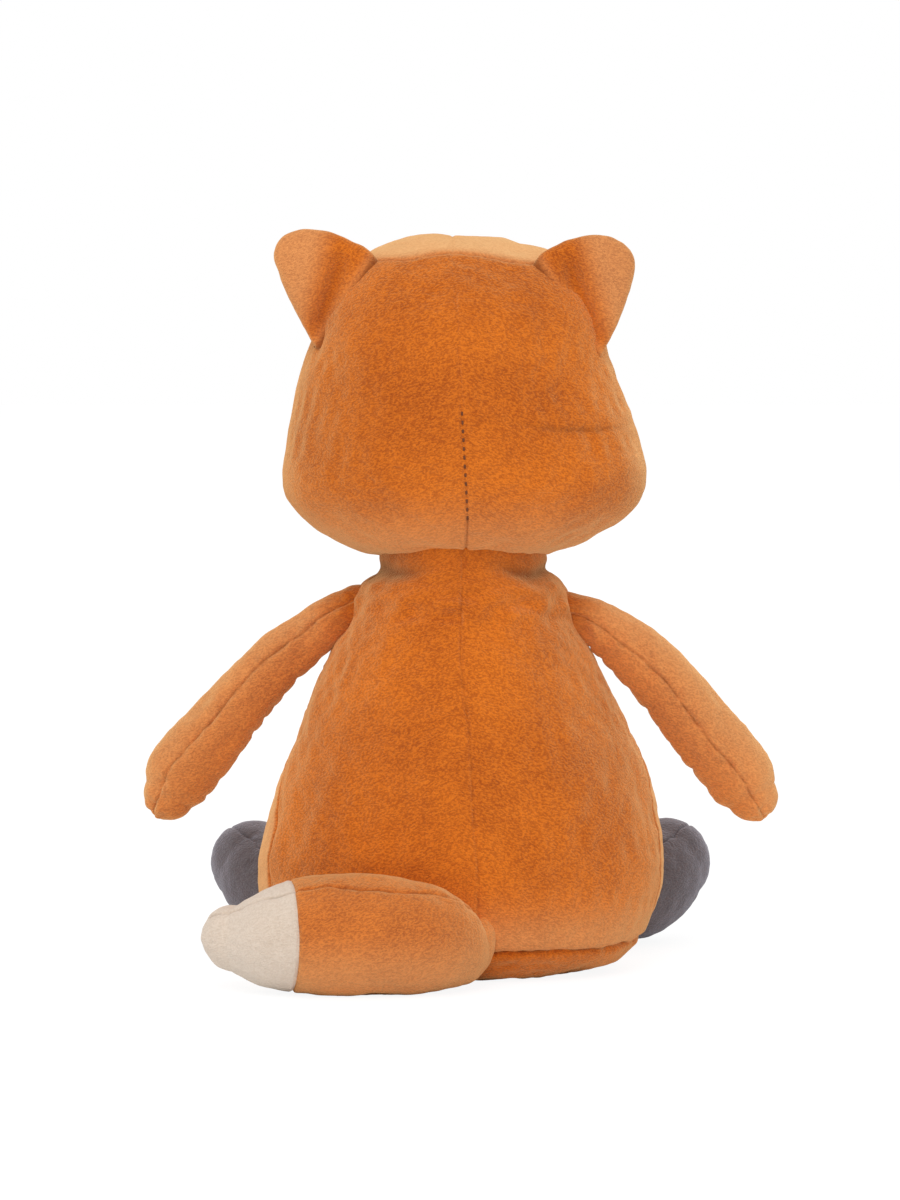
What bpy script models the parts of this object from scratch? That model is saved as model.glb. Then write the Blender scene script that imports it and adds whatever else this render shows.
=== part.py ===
"""A seated plush fox, 26 cm tall, as the pieces it is sewn from: cut panels of short-pile cloth, the
stuffing inside each form, a pellet bag in the seat, bead eyes on shanks with locking washers, and a
stitched nose.

Metres, +Z up. The fox faces -Y, its own left side is +X, and the origin is the middle of the flat seat.
Each soft form is one smooth skin, a function of two parameters. A cut panel is a patch of that skin with
the cloth's thickness, and the stuffing is the same skin drawn in by that thickness and a clearance. A limb
has a round root that turns in a socket of the torso, and is cut back where the torso would be in its way.
"""

import math

import bmesh
import bpy
import numpy as np
from mathutils import Matrix, Vector

# Cloth and clearances
cloth_thickness = 0.0016
seam_gap = 0.0004
stuffing_clearance = 0.0008
seat_clearance = 0.0005
socket_clearance = 0.0003
root_clearance = 0.0001
merge_distance = 0.000002

# Torso: a pear with a flat seat
torso_height = 0.1415
torso_half_width = 0.0715
torso_half_depth = 0.059
belly_bow = 0.003
bag_clearance = 0.0008
seam_twist_angle = math.radians(5.5)
side_seam_angle = math.radians(66)
belly_seam_angle = math.radians(142)

# Neck: a stuffed ball between the torso and the head, its middle a little above the torso
neck_rise = 0.003
neck_radius = 0.0285
neck_band_half_height = 0.013

# Head, from its underside a little above the torso
head_rise = 0.0035
head_height = 0.1115
head_half_width = 0.0633
head_back_depth = 0.048
head_front_depth = 0.041
head_forward = 0.003
face_centre_rise = 0.035
snout_length = 0.0235
snout_spread = 0.0165
snout_bluntness = 2.7
head_fullness = 0.85
head_stuffing_clearance = 0.0015
head_nod_angle = math.radians(12)

# Eyes, washers and nose
eye_radius = 0.0055
eye_dome_height = 0.0038
eye_shank_radius = 0.0016
eye_shank_length = 0.0072
eye_seat_clearance = 0.0007
shank_hole_clearance = 0.0005
washer_radius = 0.0052
washer_thickness = 0.0012
washer_bore_clearance = 0.0002
washer_pocket_clearance = 0.0006
nose_half_width = 0.0085
nose_half_height = 0.0062
nose_half_depth = 0.0060
nose_drop = 0.0005

# Ears
ear_half_base = 0.0196
left_ear_height = 0.0272
right_ear_height = 0.0220
ear_half_pad = 0.0036
ear_fold_angle = math.radians(14)

# Arms
shoulder_depth = 0.003
left_arm_reach = 0.0665
right_arm_reach = 0.067
left_arm_drop = 0.064
right_arm_drop = 0.0645
arm_radius = 0.0123
arm_flatness_share = 0.86
left_arm_roll_angle = math.radians(22)
right_arm_roll_angle = math.radians(2)
arm_raise_angle = math.radians(55)

# Legs
hip_depth = 0.003
leg_splay_angle = math.radians(41.5)
leg_length = 0.0505
leg_rise = 0.0108
leg_radius = 0.0162
leg_lift_angle = math.radians(30)
leg_droop_angle = math.radians(15)

# Tail
tail_root_depth = 0.003
tail_length = 0.0745
tail_bow = 0.0175
tail_radius = 0.0206
tail_roll_angle = math.radians(-52)
tail_swing_angle = math.radians(70)

neck_height = torso_height + neck_rise
head_bottom_height = torso_height + head_rise

# Outlines and radii, as shares of the sizes above.
# Torso, from the middle of the seat up to the neck: height, half width, half depth.
torso_shares = [
    (0.000, 0.000, 0.000),
    (0.000, 0.330, 0.330),
    (0.000, 0.640, 0.640),
    (0.018, 0.810, 0.800),
    (0.074, 0.930, 0.925),
    (0.154, 0.985, 0.980),
    (0.251, 1.000, 1.000),
    (0.362, 0.968, 0.985),
    (0.473, 0.905, 0.940),
    (0.589, 0.810, 0.860),
    (0.695, 0.720, 0.775),
    (0.791, 0.632, 0.690),
    (0.873, 0.545, 0.620),
    (0.940, 0.478, 0.575),
    (1.000, 0.440, 0.545),
]
base_seam_share = 4 / 14
stuffing_floor_share = 4.75 / 14
stuffing_top_share = 13.2 / 14
# Where the limbs join the torso, from the seat up to the neck.
shoulder_share = 0.868
hip_share = 0.336
tail_root_share = 0.351

# Head seen from behind, from under the chin round one side to the crown: half width, height.
head_outline_shares = [
    (0.00, 0.000),
    (0.25, 0.000),
    (0.44, 0.000),
    (0.585, 0.022),
    (0.80, 0.082),
    (0.925, 0.135),
    (0.99, 0.195),
    (1.00, 0.270),
    (0.98, 0.340),
    (0.955, 0.420),
    (0.895, 0.540),
    (0.825, 0.655),
    (0.755, 0.785),
    (0.65, 0.880),
    (0.50, 0.955),
    (0.30, 0.990),
    (0.15, 1.000),
    (0.00, 1.000),
]
# Where the back panels end, from the chin to the crown.
back_seam_shares = [
    (0.530,),
    (0.530,),
    (0.530,),
    (0.520,),
    (0.502,),
    (0.482,),
    (0.470,),
    (0.400,),
    (0.365,),
]
# How high the cream cheeks reach, from the back panels to the nose.
cheek_seam_shares = [(0.43,), (0.49,), (0.58,), (0.62,), (0.57,)]
snout_end_share = 0.984
ear_inner_share = 0.812
ear_outer_share = 0.668
eye_round_share = 0.69
eye_depth_share = 0.845

# Ear: along its base, and out from it. The last points are the root, which the head cuts away.
ear_outline_shares = [
    (-1.02, 0.00),
    (-0.95, 0.16),
    (-0.65, 0.47),
    (-0.24, 0.78),
    (0.16, 0.96),
    (0.54, 1.00),
    (0.80, 0.88),
    (0.91, 0.60),
    (0.94, 0.30),
    (1.00, 0.00),
    (0.72, -0.30),
    (0.00, -0.40),
    (-0.72, -0.30),
]
ear_centre_shares = (0.06, 0.38)
left_ear_lean_share = 0.18
right_ear_lean_share = 0.17
ear_wadding_share = 0.90

# How far an arm's shoulder is humped.
left_arm_hump_share = 0.015
right_arm_hump_share = 0.05

# Limbs, from root to tip: forward, up, radius.
arm_shares = [
    (0.00, 0.000, 0.80),
    (0.14, -0.075, 0.75),
    (0.28, -0.175, 0.83),
    (0.42, -0.285, 0.85),
    (0.58, -0.425, 0.86),
    (0.75, -0.615, 0.96),
    (0.885, -0.80, 1.00),
    (0.96, -0.925, 0.90),
    (1.00, -1.000, 0.70),
]
leg_shares = [
    (0.00, 0.00, 0.86),
    (0.21, -0.06, 0.81),
    (0.42, -0.12, 0.94),
    (0.61, -0.12, 1.00),
    (0.78, 0.10, 1.00),
    (0.92, 0.54, 0.92),
    (1.00, 1.00, 0.76),
]
tail_shares = [
    (0.00, 0.00, 0.62),
    (0.08, 0.42, 0.74),
    (0.21, 0.82, 0.90),
    (0.38, 1.00, 0.99),
    (0.56, 1.00, 1.00),
    (0.72, 0.90, 0.96),
    (0.87, 0.72, 0.84),
    (1.00, 0.55, 0.58),
]
cap_share = 0.12
ankle_share = 0.35
tail_tip_share = 0.665

# Mesh densities
back_columns = 5
side_columns = 6
belly_columns = 6
wall_rows = 9
base_rows = 4
neck_columns = 18
neck_band_rows = 3
neck_ball_rows = 8
cheek_columns = 6
crown_columns = 8
head_back_rows = 5
head_front_rows = 9
ear_turns = 18
arm_rows = 6
leg_rows = 6
tail_rows = 7
limb_columns = 6
round_segments = 12
socket_segments = 18
socket_rings = 10

# Colours in linear light
orange_colour = (0.58, 0.17, 0.035)
cream_colour = (0.76, 0.66, 0.54)
grey_colour = (0.105, 0.095, 0.105)
black_colour = (0.012, 0.011, 0.011)
white_colour = (0.80, 0.80, 0.78)
calico_colour = (0.62, 0.57, 0.48)


def clear_scene():
    """Removes what the scene holds, so that only the fox is in it."""
    for thing in list(bpy.data.objects):
        bpy.data.objects.remove(thing)


def material(name, colour, roughness):
    """A Principled material of one colour."""
    made = bpy.data.materials.new(name)
    made.use_nodes = True
    shader = made.node_tree.nodes["Principled BSDF"]
    shader.inputs["Base Color"].default_value = (*colour, 1)
    shader.inputs["Roughness"].default_value = roughness
    shader.inputs["Metallic"].default_value = 0
    return made


def through(rows, share):
    """The row at share, from 0 to 1, of a smooth Catmull-Rom curve through evenly spaced rows."""
    rows = np.asarray(rows, float)
    last = len(rows) - 1
    place = np.clip(np.asarray(share, float), 0, 1) * last
    index = np.minimum(place.astype(int), last - 1)
    part = (place - index)[..., None]
    before, here, there, after = (rows[np.clip(index + k, 0, last)] for k in (-1, 0, 1, 2))
    square = 2 * before - 5 * here + 4 * there - after
    cube = 3 * here - before - 3 * there + after
    return 0.5 * (2 * here + (there - before) * part + square * part**2 + cube * part**3)


def unit(vectors):
    """The vectors at length one."""
    return vectors / np.maximum(np.linalg.norm(vectors, axis=-1, keepdims=True), 1e-18)


def drawn_in(surface, a, b, depth, centre):
    """Points of surface(a, b) moved inwards by depth along the surface's own normal."""
    step = 1e-4
    inside = np.clip(b, 4 * step, 1 - 4 * step)
    across = surface(a + step, inside) - surface(a - step, inside)
    along = surface(a, inside + step) - surface(a, inside - step)
    normal = unit(np.cross(across, along))
    points = surface(a, b)
    outwards = np.sum(normal * (points - centre), axis=-1, keepdims=True)
    return points - depth * normal * np.where(outwards < 0, -1, 1)


def torso_surface(angle, share):
    """The torso's skin. The angle runs from the back seam towards +X, and the share from seat to neck."""
    height, width, depth = np.moveaxis(through(torso_shares, share), -1, 0)
    height = np.maximum(height, 0)
    turned = angle - seam_twist_angle * (1 - height)
    bow = belly_bow * np.sin(math.pi * height)
    x = torso_half_width * width * np.sin(turned)
    y = torso_half_depth * depth * np.cos(turned) - bow
    return np.stack([x, y, torso_height * height + 0 * x], axis=-1)


def torso_skin(angle, share, depth):
    """The torso's skin drawn in by depth."""
    return drawn_in(torso_surface, angle, share, depth, np.array([0, 0, torso_height / 2]))


def neck_skin(angle, share, depth):
    """The neck's ball. The share runs from its lowest point to its highest."""
    radius = neck_radius - depth
    polar = math.pi * share
    x = radius * np.sin(polar) * np.sin(angle)
    y = radius * np.sin(polar) * np.cos(angle)
    return np.stack([x, y, neck_height - radius * np.cos(polar) + 0 * x], axis=-1)


def head_surface(around, share):
    """The head's skin. around runs from under the chin, 0, to the crown, 1 by +X and -1 by -X.

    share runs from the back pole, 0, to the tip of the snout, 1. Seen from the side the head is a
    superellipse, and the snout is a bell that grows out of the face.
    """
    width, height = np.moveaxis(through(head_outline_shares, np.abs(around)), -1, 0)
    polar = math.pi * np.clip(share, 0, 1)
    spread = np.sin(polar) ** head_fullness
    reach = np.sign(np.cos(polar)) * np.abs(np.cos(polar)) ** head_fullness
    side = head_half_width * width * np.sign(around + 1e-12)
    rise = head_height * height - face_centre_rise
    from_pole = spread * np.hypot(side, rise)
    snout = snout_length * np.exp(-((from_pole / snout_spread) ** snout_bluntness)) * (reach < 0)
    depth = np.where(reach > 0, head_back_depth, head_front_depth)
    y = depth * reach - head_forward - snout
    z = head_bottom_height + face_centre_rise + spread * rise
    return np.stack([side * spread, y, z], axis=-1)


def head_skin(around, share, depth):
    """The head's skin drawn in by depth."""
    middle = np.array([0, -head_forward, head_bottom_height + face_centre_rise])
    return drawn_in(head_surface, around, share, depth, middle)


class Limb:
    """A stuffed limb along a curve in one plane, with a round root at its pivot and a round tip."""

    def __init__(self, pivot, forward, up, shares, sizes, flatness=1.0, roll=0.0):
        self.pivot = np.array(pivot)
        self.forward = np.array(forward)
        self.up = np.array(up)
        self.side = np.cross(self.forward, self.up)
        self.shares = shares
        self.sizes = np.array(sizes)
        self.flatness = flatness
        self.roll = roll

    def centreline(self, share):
        """Points of the centreline and the limb's radius there."""
        rows = through(self.shares, share) * self.sizes
        points = self.pivot + rows[..., :1] * self.forward + rows[..., 1:2] * self.up
        return points, rows[..., 2]

    def frame(self, share):
        """The centreline's direction and the direction up from it, both in the limb's plane."""
        step = 0.01
        ahead = self.centreline(share + step)[0] - self.centreline(share - step)[0]
        along = unit(ahead)
        up = np.cross(self.side, along)
        return along, unit(up)

    def root_radius(self):
        """The radius of the round root."""
        return float(self.centreline(np.array(0.0))[1])

    def skin(self, turn, share, depth):
        """The limb's skin drawn in by depth. turn is in turns, 0 on top, and share runs root to tip."""
        middle = np.clip((share - cap_share) / (1 - 2 * cap_share), 0, 1)
        centre, radius = self.centreline(middle)
        along, up = self.frame(middle)
        bend = math.pi / 2 * np.clip(np.minimum(share, 1 - share) / cap_share, 0, 1)
        end = np.sign(share - 0.5) * np.cos(bend)
        radius = (radius - depth)[..., None]
        angle = 2 * math.pi * turn + self.roll
        ring = up * np.cos(angle)[..., None]
        ring = ring + self.side * (self.flatness * np.sin(angle))[..., None]
        return centre + radius * (along * end[..., None] + ring * np.sin(bend)[..., None])

    def panel_offset(self, sign):
        """Half the seam's gap, towards the upper panel or away from it."""
        up = np.array(self.up) * math.cos(self.roll) + self.side * math.sin(self.roll)
        return up * sign * seam_gap / 2


def ear_frame(sign):
    """The middle of an ear's base on the head, the direction along the base, out from it, and backwards."""
    seam = float(back_seam(np.array(ear_inner_share)))
    inner = head_skin(np.array(ear_inner_share * sign), np.array(seam), 0.0)
    outer = head_skin(np.array(ear_outer_share * sign), np.array(seam), 0.0)
    along = unit(inner - outer)
    back = unit(np.array([0.0, 1.0, 0.0]) - along[1] * along)
    out = np.cross(back, along) * sign
    return (inner + outer) / 2, along, out, back


def ear_half_thickness(share):
    """Half the ear's padding, from its middle, 0, to its rim, 1."""
    return ear_half_pad * np.sqrt(np.clip(1 - share**2, 0, 1))


def ear_point(sign, turn, share, lift):
    """A point of an ear. turn goes round its outline, share from middle to rim, and lift backwards."""
    base, along, out, back = ear_frame(sign)
    closed = ear_outline_shares + ear_outline_shares[:1]
    edge = through(closed, turn % 1.0)
    centre = np.array(ear_centre_shares)
    place = centre + share[..., None] * (edge - centre)
    height = left_ear_height if sign > 0 else right_ear_height
    lean = left_ear_lean_share if sign > 0 else right_ear_lean_share
    beside = (place[..., :1] - lean * np.maximum(place[..., 1:], 0)) * ear_half_base
    flat = base + beside * along + place[..., 1:] * height * out
    return flat + lift[..., None] * back


def back_seam(around):
    """How far forward the head's back panels reach, as a share from back to front."""
    return through(back_seam_shares, np.abs(around))[..., 0]


def cheek_seam(progress):
    """How high the cream of the cheeks reaches, from the back panels, 0, to under the nose, 1."""
    return through(cheek_seam_shares, progress)[..., 0]


class Sewing:
    """Collects the points and faces of one closed mesh."""

    def __init__(self):
        self.points = []
        self.faces = []

    def grid(self, points):
        """Adds a grid of points and returns their numbers."""
        first = len(self.points)
        self.points.extend(map(tuple, points.reshape(-1, 3)))
        return np.arange(first, first + points.shape[0] * points.shape[1]).reshape(points.shape[:2])

    def strip(self, one, other, ring=False):
        """Faces between two rows of points. A ring also closes the last to the first."""
        count = len(one)
        for i in range(count if ring else count - 1):
            j = (i + 1) % count
            self.faces.append((one[i], one[j], other[j], other[i]))

    def cloth(self, numbers, ring=False):
        """Faces over a whole grid."""
        for one, other in zip(numbers[:-1], numbers[1:]):
            self.strip(one, other, ring)

    def cap(self, row):
        """One face over a ring of points."""
        self.faces.append(tuple(row))

    def mesh(self, name):
        """The closed mesh, with its poles merged and its faces pointing out."""
        made = bpy.data.meshes.new(name)
        made.from_pydata(self.points, [], [tuple(map(int, face)) for face in self.faces])
        shape = bmesh.new()
        shape.from_mesh(made)
        bmesh.ops.remove_doubles(shape, verts=shape.verts, dist=merge_distance)
        bmesh.ops.dissolve_degenerate(shape, edges=shape.edges, dist=merge_distance)
        bmesh.ops.recalc_face_normals(shape, faces=shape.faces)
        shape.to_mesh(made)
        shape.free()
        return made


def one_point(row):
    """A row that has shrunk to a pole, with its points made one."""
    if np.ptp(row, axis=0).max() < cloth_thickness / 2:
        return np.repeat(row.mean(axis=0, keepdims=True), len(row), axis=0)
    return row


def with_poles(points):
    """A grid whose first and last rows are made single points where they are poles."""
    points = points.copy()
    points[0] = one_point(points[0])
    points[-1] = one_point(points[-1])
    return points


def finished(name, mesh, paint, sharp_angle=math.radians(40)):
    """The named object of a mesh, shaded smooth, with its material."""
    mesh.name = name
    mesh.materials.append(paint)
    mesh.shade_smooth()
    mesh.set_sharp_from_angle(angle=sharp_angle)
    made = bpy.data.objects.new(name, mesh)
    bpy.context.scene.collection.objects.link(made)
    return made


def cutter(name, mesh):
    """A helper that only cuts."""
    made = bpy.data.objects.new(name, mesh)
    made.hide_render = True
    made.display_type = "WIRE"
    bpy.context.scene.collection.objects.link(made)
    return made


def cut(piece, *tools, solver="EXACT"):
    """Cuts each tool from the piece."""
    for tool in tools:
        modifier = piece.modifiers.new("cut_by_" + tool.name, "BOOLEAN")
        modifier.operation = "DIFFERENCE"
        modifier.solver = solver
        modifier.object = tool
    return piece


def panel(name, skin, columns, rows, paint, offset=None):
    """A cut panel: the patch of a skin over columns and rows, with the cloth's thickness."""
    sewing = Sewing()
    shift = np.zeros(3) if offset is None else offset
    outer = sewing.grid(with_poles(skin(columns, rows, 0.0)) + shift)
    inner = sewing.grid(with_poles(skin(columns, rows, cloth_thickness)) + shift)
    sewing.cloth(outer)
    sewing.cloth(inner)
    for edge in (np.s_[0], np.s_[-1], np.s_[:, 0], np.s_[:, -1]):
        sewing.strip(outer[edge], inner[edge])
    return finished(name, sewing.mesh(name), paint)


def sleeve(name, skin, columns, rows, paint):
    """A tube of cloth that closes on itself, open where it doesn't end in a pole."""
    sewing = Sewing()
    outer = sewing.grid(with_poles(skin(columns, rows, 0.0)))
    inner = sewing.grid(with_poles(skin(columns, rows, cloth_thickness)))
    sewing.cloth(outer, ring=True)
    sewing.cloth(inner, ring=True)
    for end in (0, -1):
        rim = np.array([sewing.points[i] for i in outer[end]])
        if np.ptp(rim, axis=0).max() > cloth_thickness:
            sewing.strip(outer[end], inner[end], ring=True)
    return finished(name, sewing.mesh(name), paint)


def closed_mesh(name, skin, columns, rows, depth):
    """A closed form: the skin drawn in by depth, with a flat cap where it doesn't end in a pole."""
    sewing = Sewing()
    numbers = sewing.grid(with_poles(skin(columns, rows, depth)))
    sewing.cloth(numbers, ring=True)
    for end in (0, -1):
        rim = np.array([sewing.points[i] for i in numbers[end]])
        if np.ptp(rim, axis=0).max() > cloth_thickness:
            sewing.cap(numbers[end])
    return sewing.mesh(name)


def stuffing(name, skin, columns, rows, paint, clearance=stuffing_clearance):
    """The filling of a form, clear of its cloth."""
    return finished(name, closed_mesh(name, skin, columns, rows, cloth_thickness + clearance), paint)


def lattice(columns, rows):
    """Two grids, of the column values and of the row values."""
    return np.meshgrid(np.asarray(columns, float), np.asarray(rows, float))


def ring(count):
    """Evenly spaced shares of one turn, without the last."""
    return np.arange(count) / count


def halved(rows):
    """The rows, with one more halfway between each two."""
    made = np.empty((2 * len(rows) - 1, *rows.shape[1:]))
    made[::2] = rows
    made[1::2] = (rows[1:] + rows[:-1]) / 2
    return made


def ball_mesh(name, radius, stretch=(1, 1, 1)):
    """A ball whose flat facets nowhere lie within the radius, stretched along its axes."""
    over = math.cos(math.pi / socket_segments) * math.cos(math.pi / 2 / socket_rings)
    shape = bmesh.new()
    counts = {"u_segments": socket_segments, "v_segments": socket_rings}
    bmesh.ops.create_uvsphere(shape, radius=radius / over, **counts)
    bmesh.ops.scale(shape, verts=shape.verts, vec=stretch)
    made = bpy.data.meshes.new(name)
    shape.to_mesh(made)
    shape.free()
    return made


def turned_mesh(name, profile):
    """A round piece about Z, its profile turned. A profile that starts and ends off the axis is bored."""
    angles = 2 * math.pi * ring(round_segments)
    sewing = Sewing()
    points = np.array([[(r * math.cos(t), r * math.sin(t), h) for t in angles] for r, h in profile])
    numbers = sewing.grid(points)
    sewing.cloth(numbers, ring=True)
    if profile[0][0] > 0:
        sewing.strip(numbers[0], numbers[-1], ring=True)
    return sewing.mesh(name)


def pivot_empty(name, place, parent=None):
    """An empty on a joint's axis, which the pieces of its body are parented to."""
    made = bpy.data.objects.new(name, None)
    made.location = place
    bpy.context.scene.collection.objects.link(made)
    bpy.context.view_layer.update()
    if parent is not None:
        made.parent = parent
        made.matrix_parent_inverse = parent.matrix_world.inverted()
        bpy.context.view_layer.update()
    return made


def hold(empty, *pieces):
    """Parents pieces to an empty and leaves them where they are."""
    for piece in pieces:
        piece.parent = empty
        piece.matrix_parent_inverse = empty.matrix_world.inverted()


def swept_cutters(name, mesh, pivot, axis, angles):
    """Copies of a cutter where the joint's other side is at each angle, seen from the moving piece."""
    made = []
    for number, angle in enumerate(angles):
        tool = cutter(f"{name}_{number}", mesh)
        turn = Matrix.Rotation(-angle, 4, Vector(axis))
        there = Matrix.Translation(Vector(pivot))
        tool.matrix_world = there @ turn @ there.inverted()
        made.append(tool)
    return made


def envelope_without_socket(name, envelope, pivot, radius, stretch):
    """The mesh of an envelope with room left round a limb's root."""
    body = cutter(name + "_body", envelope)
    room = cutter(name + "_room", ball_mesh(name + "_room", radius, stretch))
    room.location = pivot
    cut(body, room)
    bpy.context.view_layer.update()
    graph = bpy.context.evaluated_depsgraph_get()
    made = bpy.data.meshes.new_from_object(body.evaluated_get(graph))
    bpy.data.objects.remove(body)
    bpy.data.objects.remove(room)
    return made


def torso_columns():
    """The angles of the torso's panels, in the order back, side, belly, side, back."""
    back = np.linspace(0, side_seam_angle, back_columns + 1)
    side = np.linspace(side_seam_angle, belly_seam_angle, side_columns + 1)
    belly = np.linspace(belly_seam_angle, 2 * math.pi - belly_seam_angle, belly_columns + 1)
    return back, side, belly


def torso_round():
    """The angles of all the panels, once round."""
    back, side, belly = torso_columns()
    other_side = 2 * math.pi - side[::-1]
    other_back = 2 * math.pi - back[::-1]
    return np.concatenate([back, side[1:], belly[1:], other_side[1:], other_back[1:-1]])


def wall_panel(name, angles, sockets, paint):
    """A panel of the torso's wall, from the base seam to the neck, short of its seams by half a gap."""
    edge = seam_gap / 2
    rows = np.linspace(base_seam_share, 1, wall_rows + 1)
    rows[0] += edge / torso_height
    columns, shares = lattice(angles, rows)
    width = through(torso_shares, shares)[..., 1] * (torso_half_width + torso_half_depth) / 2
    columns[:, 0] += edge / width[:, 0]
    columns[:, -1] -= edge / width[:, -1]
    return cut(panel(name, torso_skin, columns, shares, paint), *sockets)


def make_torso(paints, sockets):
    """The cloth of the torso, its stuffing and the pellet bag under it."""
    back, side, belly = torso_columns()
    pieces = [
        wall_panel("torso_back_left_panel", back, sockets, paints["orange"]),
        wall_panel("torso_back_right_panel", -back[::-1], sockets, paints["orange"]),
        wall_panel("torso_side_left_panel", side, sockets, paints["orange"]),
        wall_panel("torso_side_right_panel", -side[::-1], sockets, paints["orange"]),
        wall_panel("belly_panel", belly, sockets, paints["cream"]),
    ]
    rows = np.delete(np.linspace(0, base_seam_share, base_rows + 1), 1)
    rows[-1] -= seam_gap / 2 / torso_height
    base = sleeve("base_panel", torso_skin, *lattice(torso_round(), rows), paints["orange"])
    pieces.append(cut(base, *sockets))
    rows = np.linspace(stuffing_floor_share, stuffing_top_share, wall_rows - 2)
    filled = stuffing("torso_stuffing", torso_skin, *lattice(torso_round()[::2], rows), paints["white"])
    pieces.append(cut(filled, *sockets))
    bag = make_pellet_bag(paints["calico"])
    pieces.append(cut(bag, *sockets))
    return pieces


def make_pellet_bag(paint):
    """The pellet bag: it fills the seat up to just under the stuffing."""
    depth = cloth_thickness + stuffing_clearance
    rows = np.delete(np.linspace(0, stuffing_floor_share, base_rows + 2), 1)
    points = torso_skin(*lattice(torso_round()[::2], rows), depth)
    top = points[-1, :, 2].min() - bag_clearance
    points[..., 2] = np.minimum(points[..., 2], top)
    sewing = Sewing()
    numbers = sewing.grid(with_poles(points))
    sewing.cloth(numbers, ring=True)
    sewing.cap(numbers[-1])
    return finished("pellet_bag", sewing.mesh("pellet_bag"), paint)


def make_neck(paints):
    """The neck: a band of cloth round a ball of stuffing."""
    angles = 2 * math.pi * ring(neck_columns)
    half = math.asin(neck_band_half_height / neck_radius) / math.pi
    band_grid = lattice(angles, np.linspace(0.5 - half, 0.5 + half, neck_band_rows + 1))
    band = sleeve("neck_band", neck_skin, *band_grid, paints["orange"])
    ball_grid = lattice(angles, np.linspace(0, 1, neck_ball_rows + 1))
    ball = stuffing("neck_stuffing", neck_skin, *ball_grid, paints["white"])
    return [band, ball]


def head_round():
    """Where the head's panels have their columns, from under the chin, 0, to the crown, 1."""
    start = cheek_seam_shares[0][0]
    cheek = np.linspace(0, start, cheek_columns + 1)
    return np.concatenate([cheek, np.linspace(start, 1, crown_columns + 1)[1:]])


def front_progress():
    """The rows of the front panels, from the back panels, 0, to under the nose, 1, closer together there."""
    return 1 - np.linspace(1, 0, head_front_rows + 1)[:, None] ** 1.25


def head_rows(around, gap=0.0):
    """The rows of the back panels and of the front ones at each column, as shares from back to front."""
    seam = back_seam(around)
    back = np.linspace(0, 1, head_back_rows + 1)[:, None] * (seam - gap)
    begin = seam + gap
    return back, begin + front_progress() * (snout_end_share - begin)


def head_panels(paints, tools):
    """The head's cloth: two back panels, two crown panels and two cheek panels."""
    made = []
    edge = seam_gap / 2 / (head_back_depth + head_half_width)
    columns = head_round()
    parts = (("crown", columns[cheek_columns:], "orange"), ("cheek", columns[: cheek_columns + 1], "cream"))
    for side, sign in (("left", 1), ("right", -1)):
        offset = np.array([sign * seam_gap / 2, 0, 0])
        shares = head_rows(columns, edge)[0]
        around = np.broadcast_to(columns, shares.shape)
        back = panel(f"head_back_{side}_panel", head_skin, around * sign, shares, paints["orange"], offset)
        made.append(cut(back, *tools))
        for part, turns, paint in parts:
            shares = head_rows(turns, edge)[1]
            seam = cheek_seam(front_progress())
            reach = np.sin(math.pi * shares) ** head_fullness * (head_height + head_half_width)
            if part == "crown":
                low = seam + seam_gap / 2 / reach
                around = 1 - (1 - low) * (1 - turns) / (1 - turns[0])
            else:
                high = seam - seam_gap / 2 / reach
                around = high * turns / turns[-1]
            front = panel(f"{part}_{side}_panel", head_skin, around * sign, shares, paints[paint], offset)
            made.append(cut(front, *(tools if part == "cheek" else [])))
    return made


def make_head(paints, tools, rooms):
    """The head's cloth and stuffing, with room for the neck, the eyes' shanks and washers."""
    pieces = head_panels(paints, tools)
    for piece in pieces:
        if "crown" in piece.name:
            side = "left" if "left" in piece.name else "right"
            cut(piece, rooms[side]["hole"])
    half = head_round()
    around = np.concatenate([-half[::-1], half[1:-1]])
    back, front = head_rows(np.abs(around))
    shares = np.concatenate([back[::2], front[1:], np.ones_like(front[:1])])
    around = np.broadcast_to(around, shares.shape)
    filled = stuffing("head_stuffing", head_skin, around, shares, paints["white"], head_stuffing_clearance)
    cut(filled, *tools, rooms["left"]["pocket"], rooms["right"]["pocket"])
    return pieces + [filled]


def eye_place(sign):
    """Where an eye sits on the face, and the direction it looks in."""
    around = np.array(eye_round_share * sign)
    share = np.array(eye_depth_share)
    on_skin = head_skin(around, share, 0.0)
    outwards = unit(on_skin - head_skin(around, share, cloth_thickness))
    return Vector(on_skin), Vector(outwards)


def stand_on(piece, place, direction):
    """Moves a piece made about Z so that Z runs along direction from place."""
    turn = direction.to_track_quat("Z", "Y").to_matrix().to_4x4()
    piece.matrix_world = Matrix.Translation(place) @ turn
    return piece


def make_eye_rooms(sign, side):
    """The hole in the cloth for an eye's shank, and the pocket in the stuffing for the shank and washer."""
    place, direction = eye_place(sign)
    hole_radius = eye_shank_radius + shank_hole_clearance
    top = eye_radius
    bottom = -2 * cloth_thickness
    profile = [(0, bottom), (hole_radius, bottom), (hole_radius, top), (0, top)]
    hole = stand_on(cutter(f"{side}_shank_hole", turned_mesh("hole", profile)), place, direction)
    radius = washer_radius + washer_pocket_clearance
    bottom = -eye_shank_length - washer_pocket_clearance
    profile = [(0, bottom), (radius, bottom), (radius, top), (0, top)]
    pocket = stand_on(cutter(f"{side}_washer_pocket", turned_mesh("pocket", profile)), place, direction)
    return {"hole": hole, "pocket": pocket}


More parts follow.
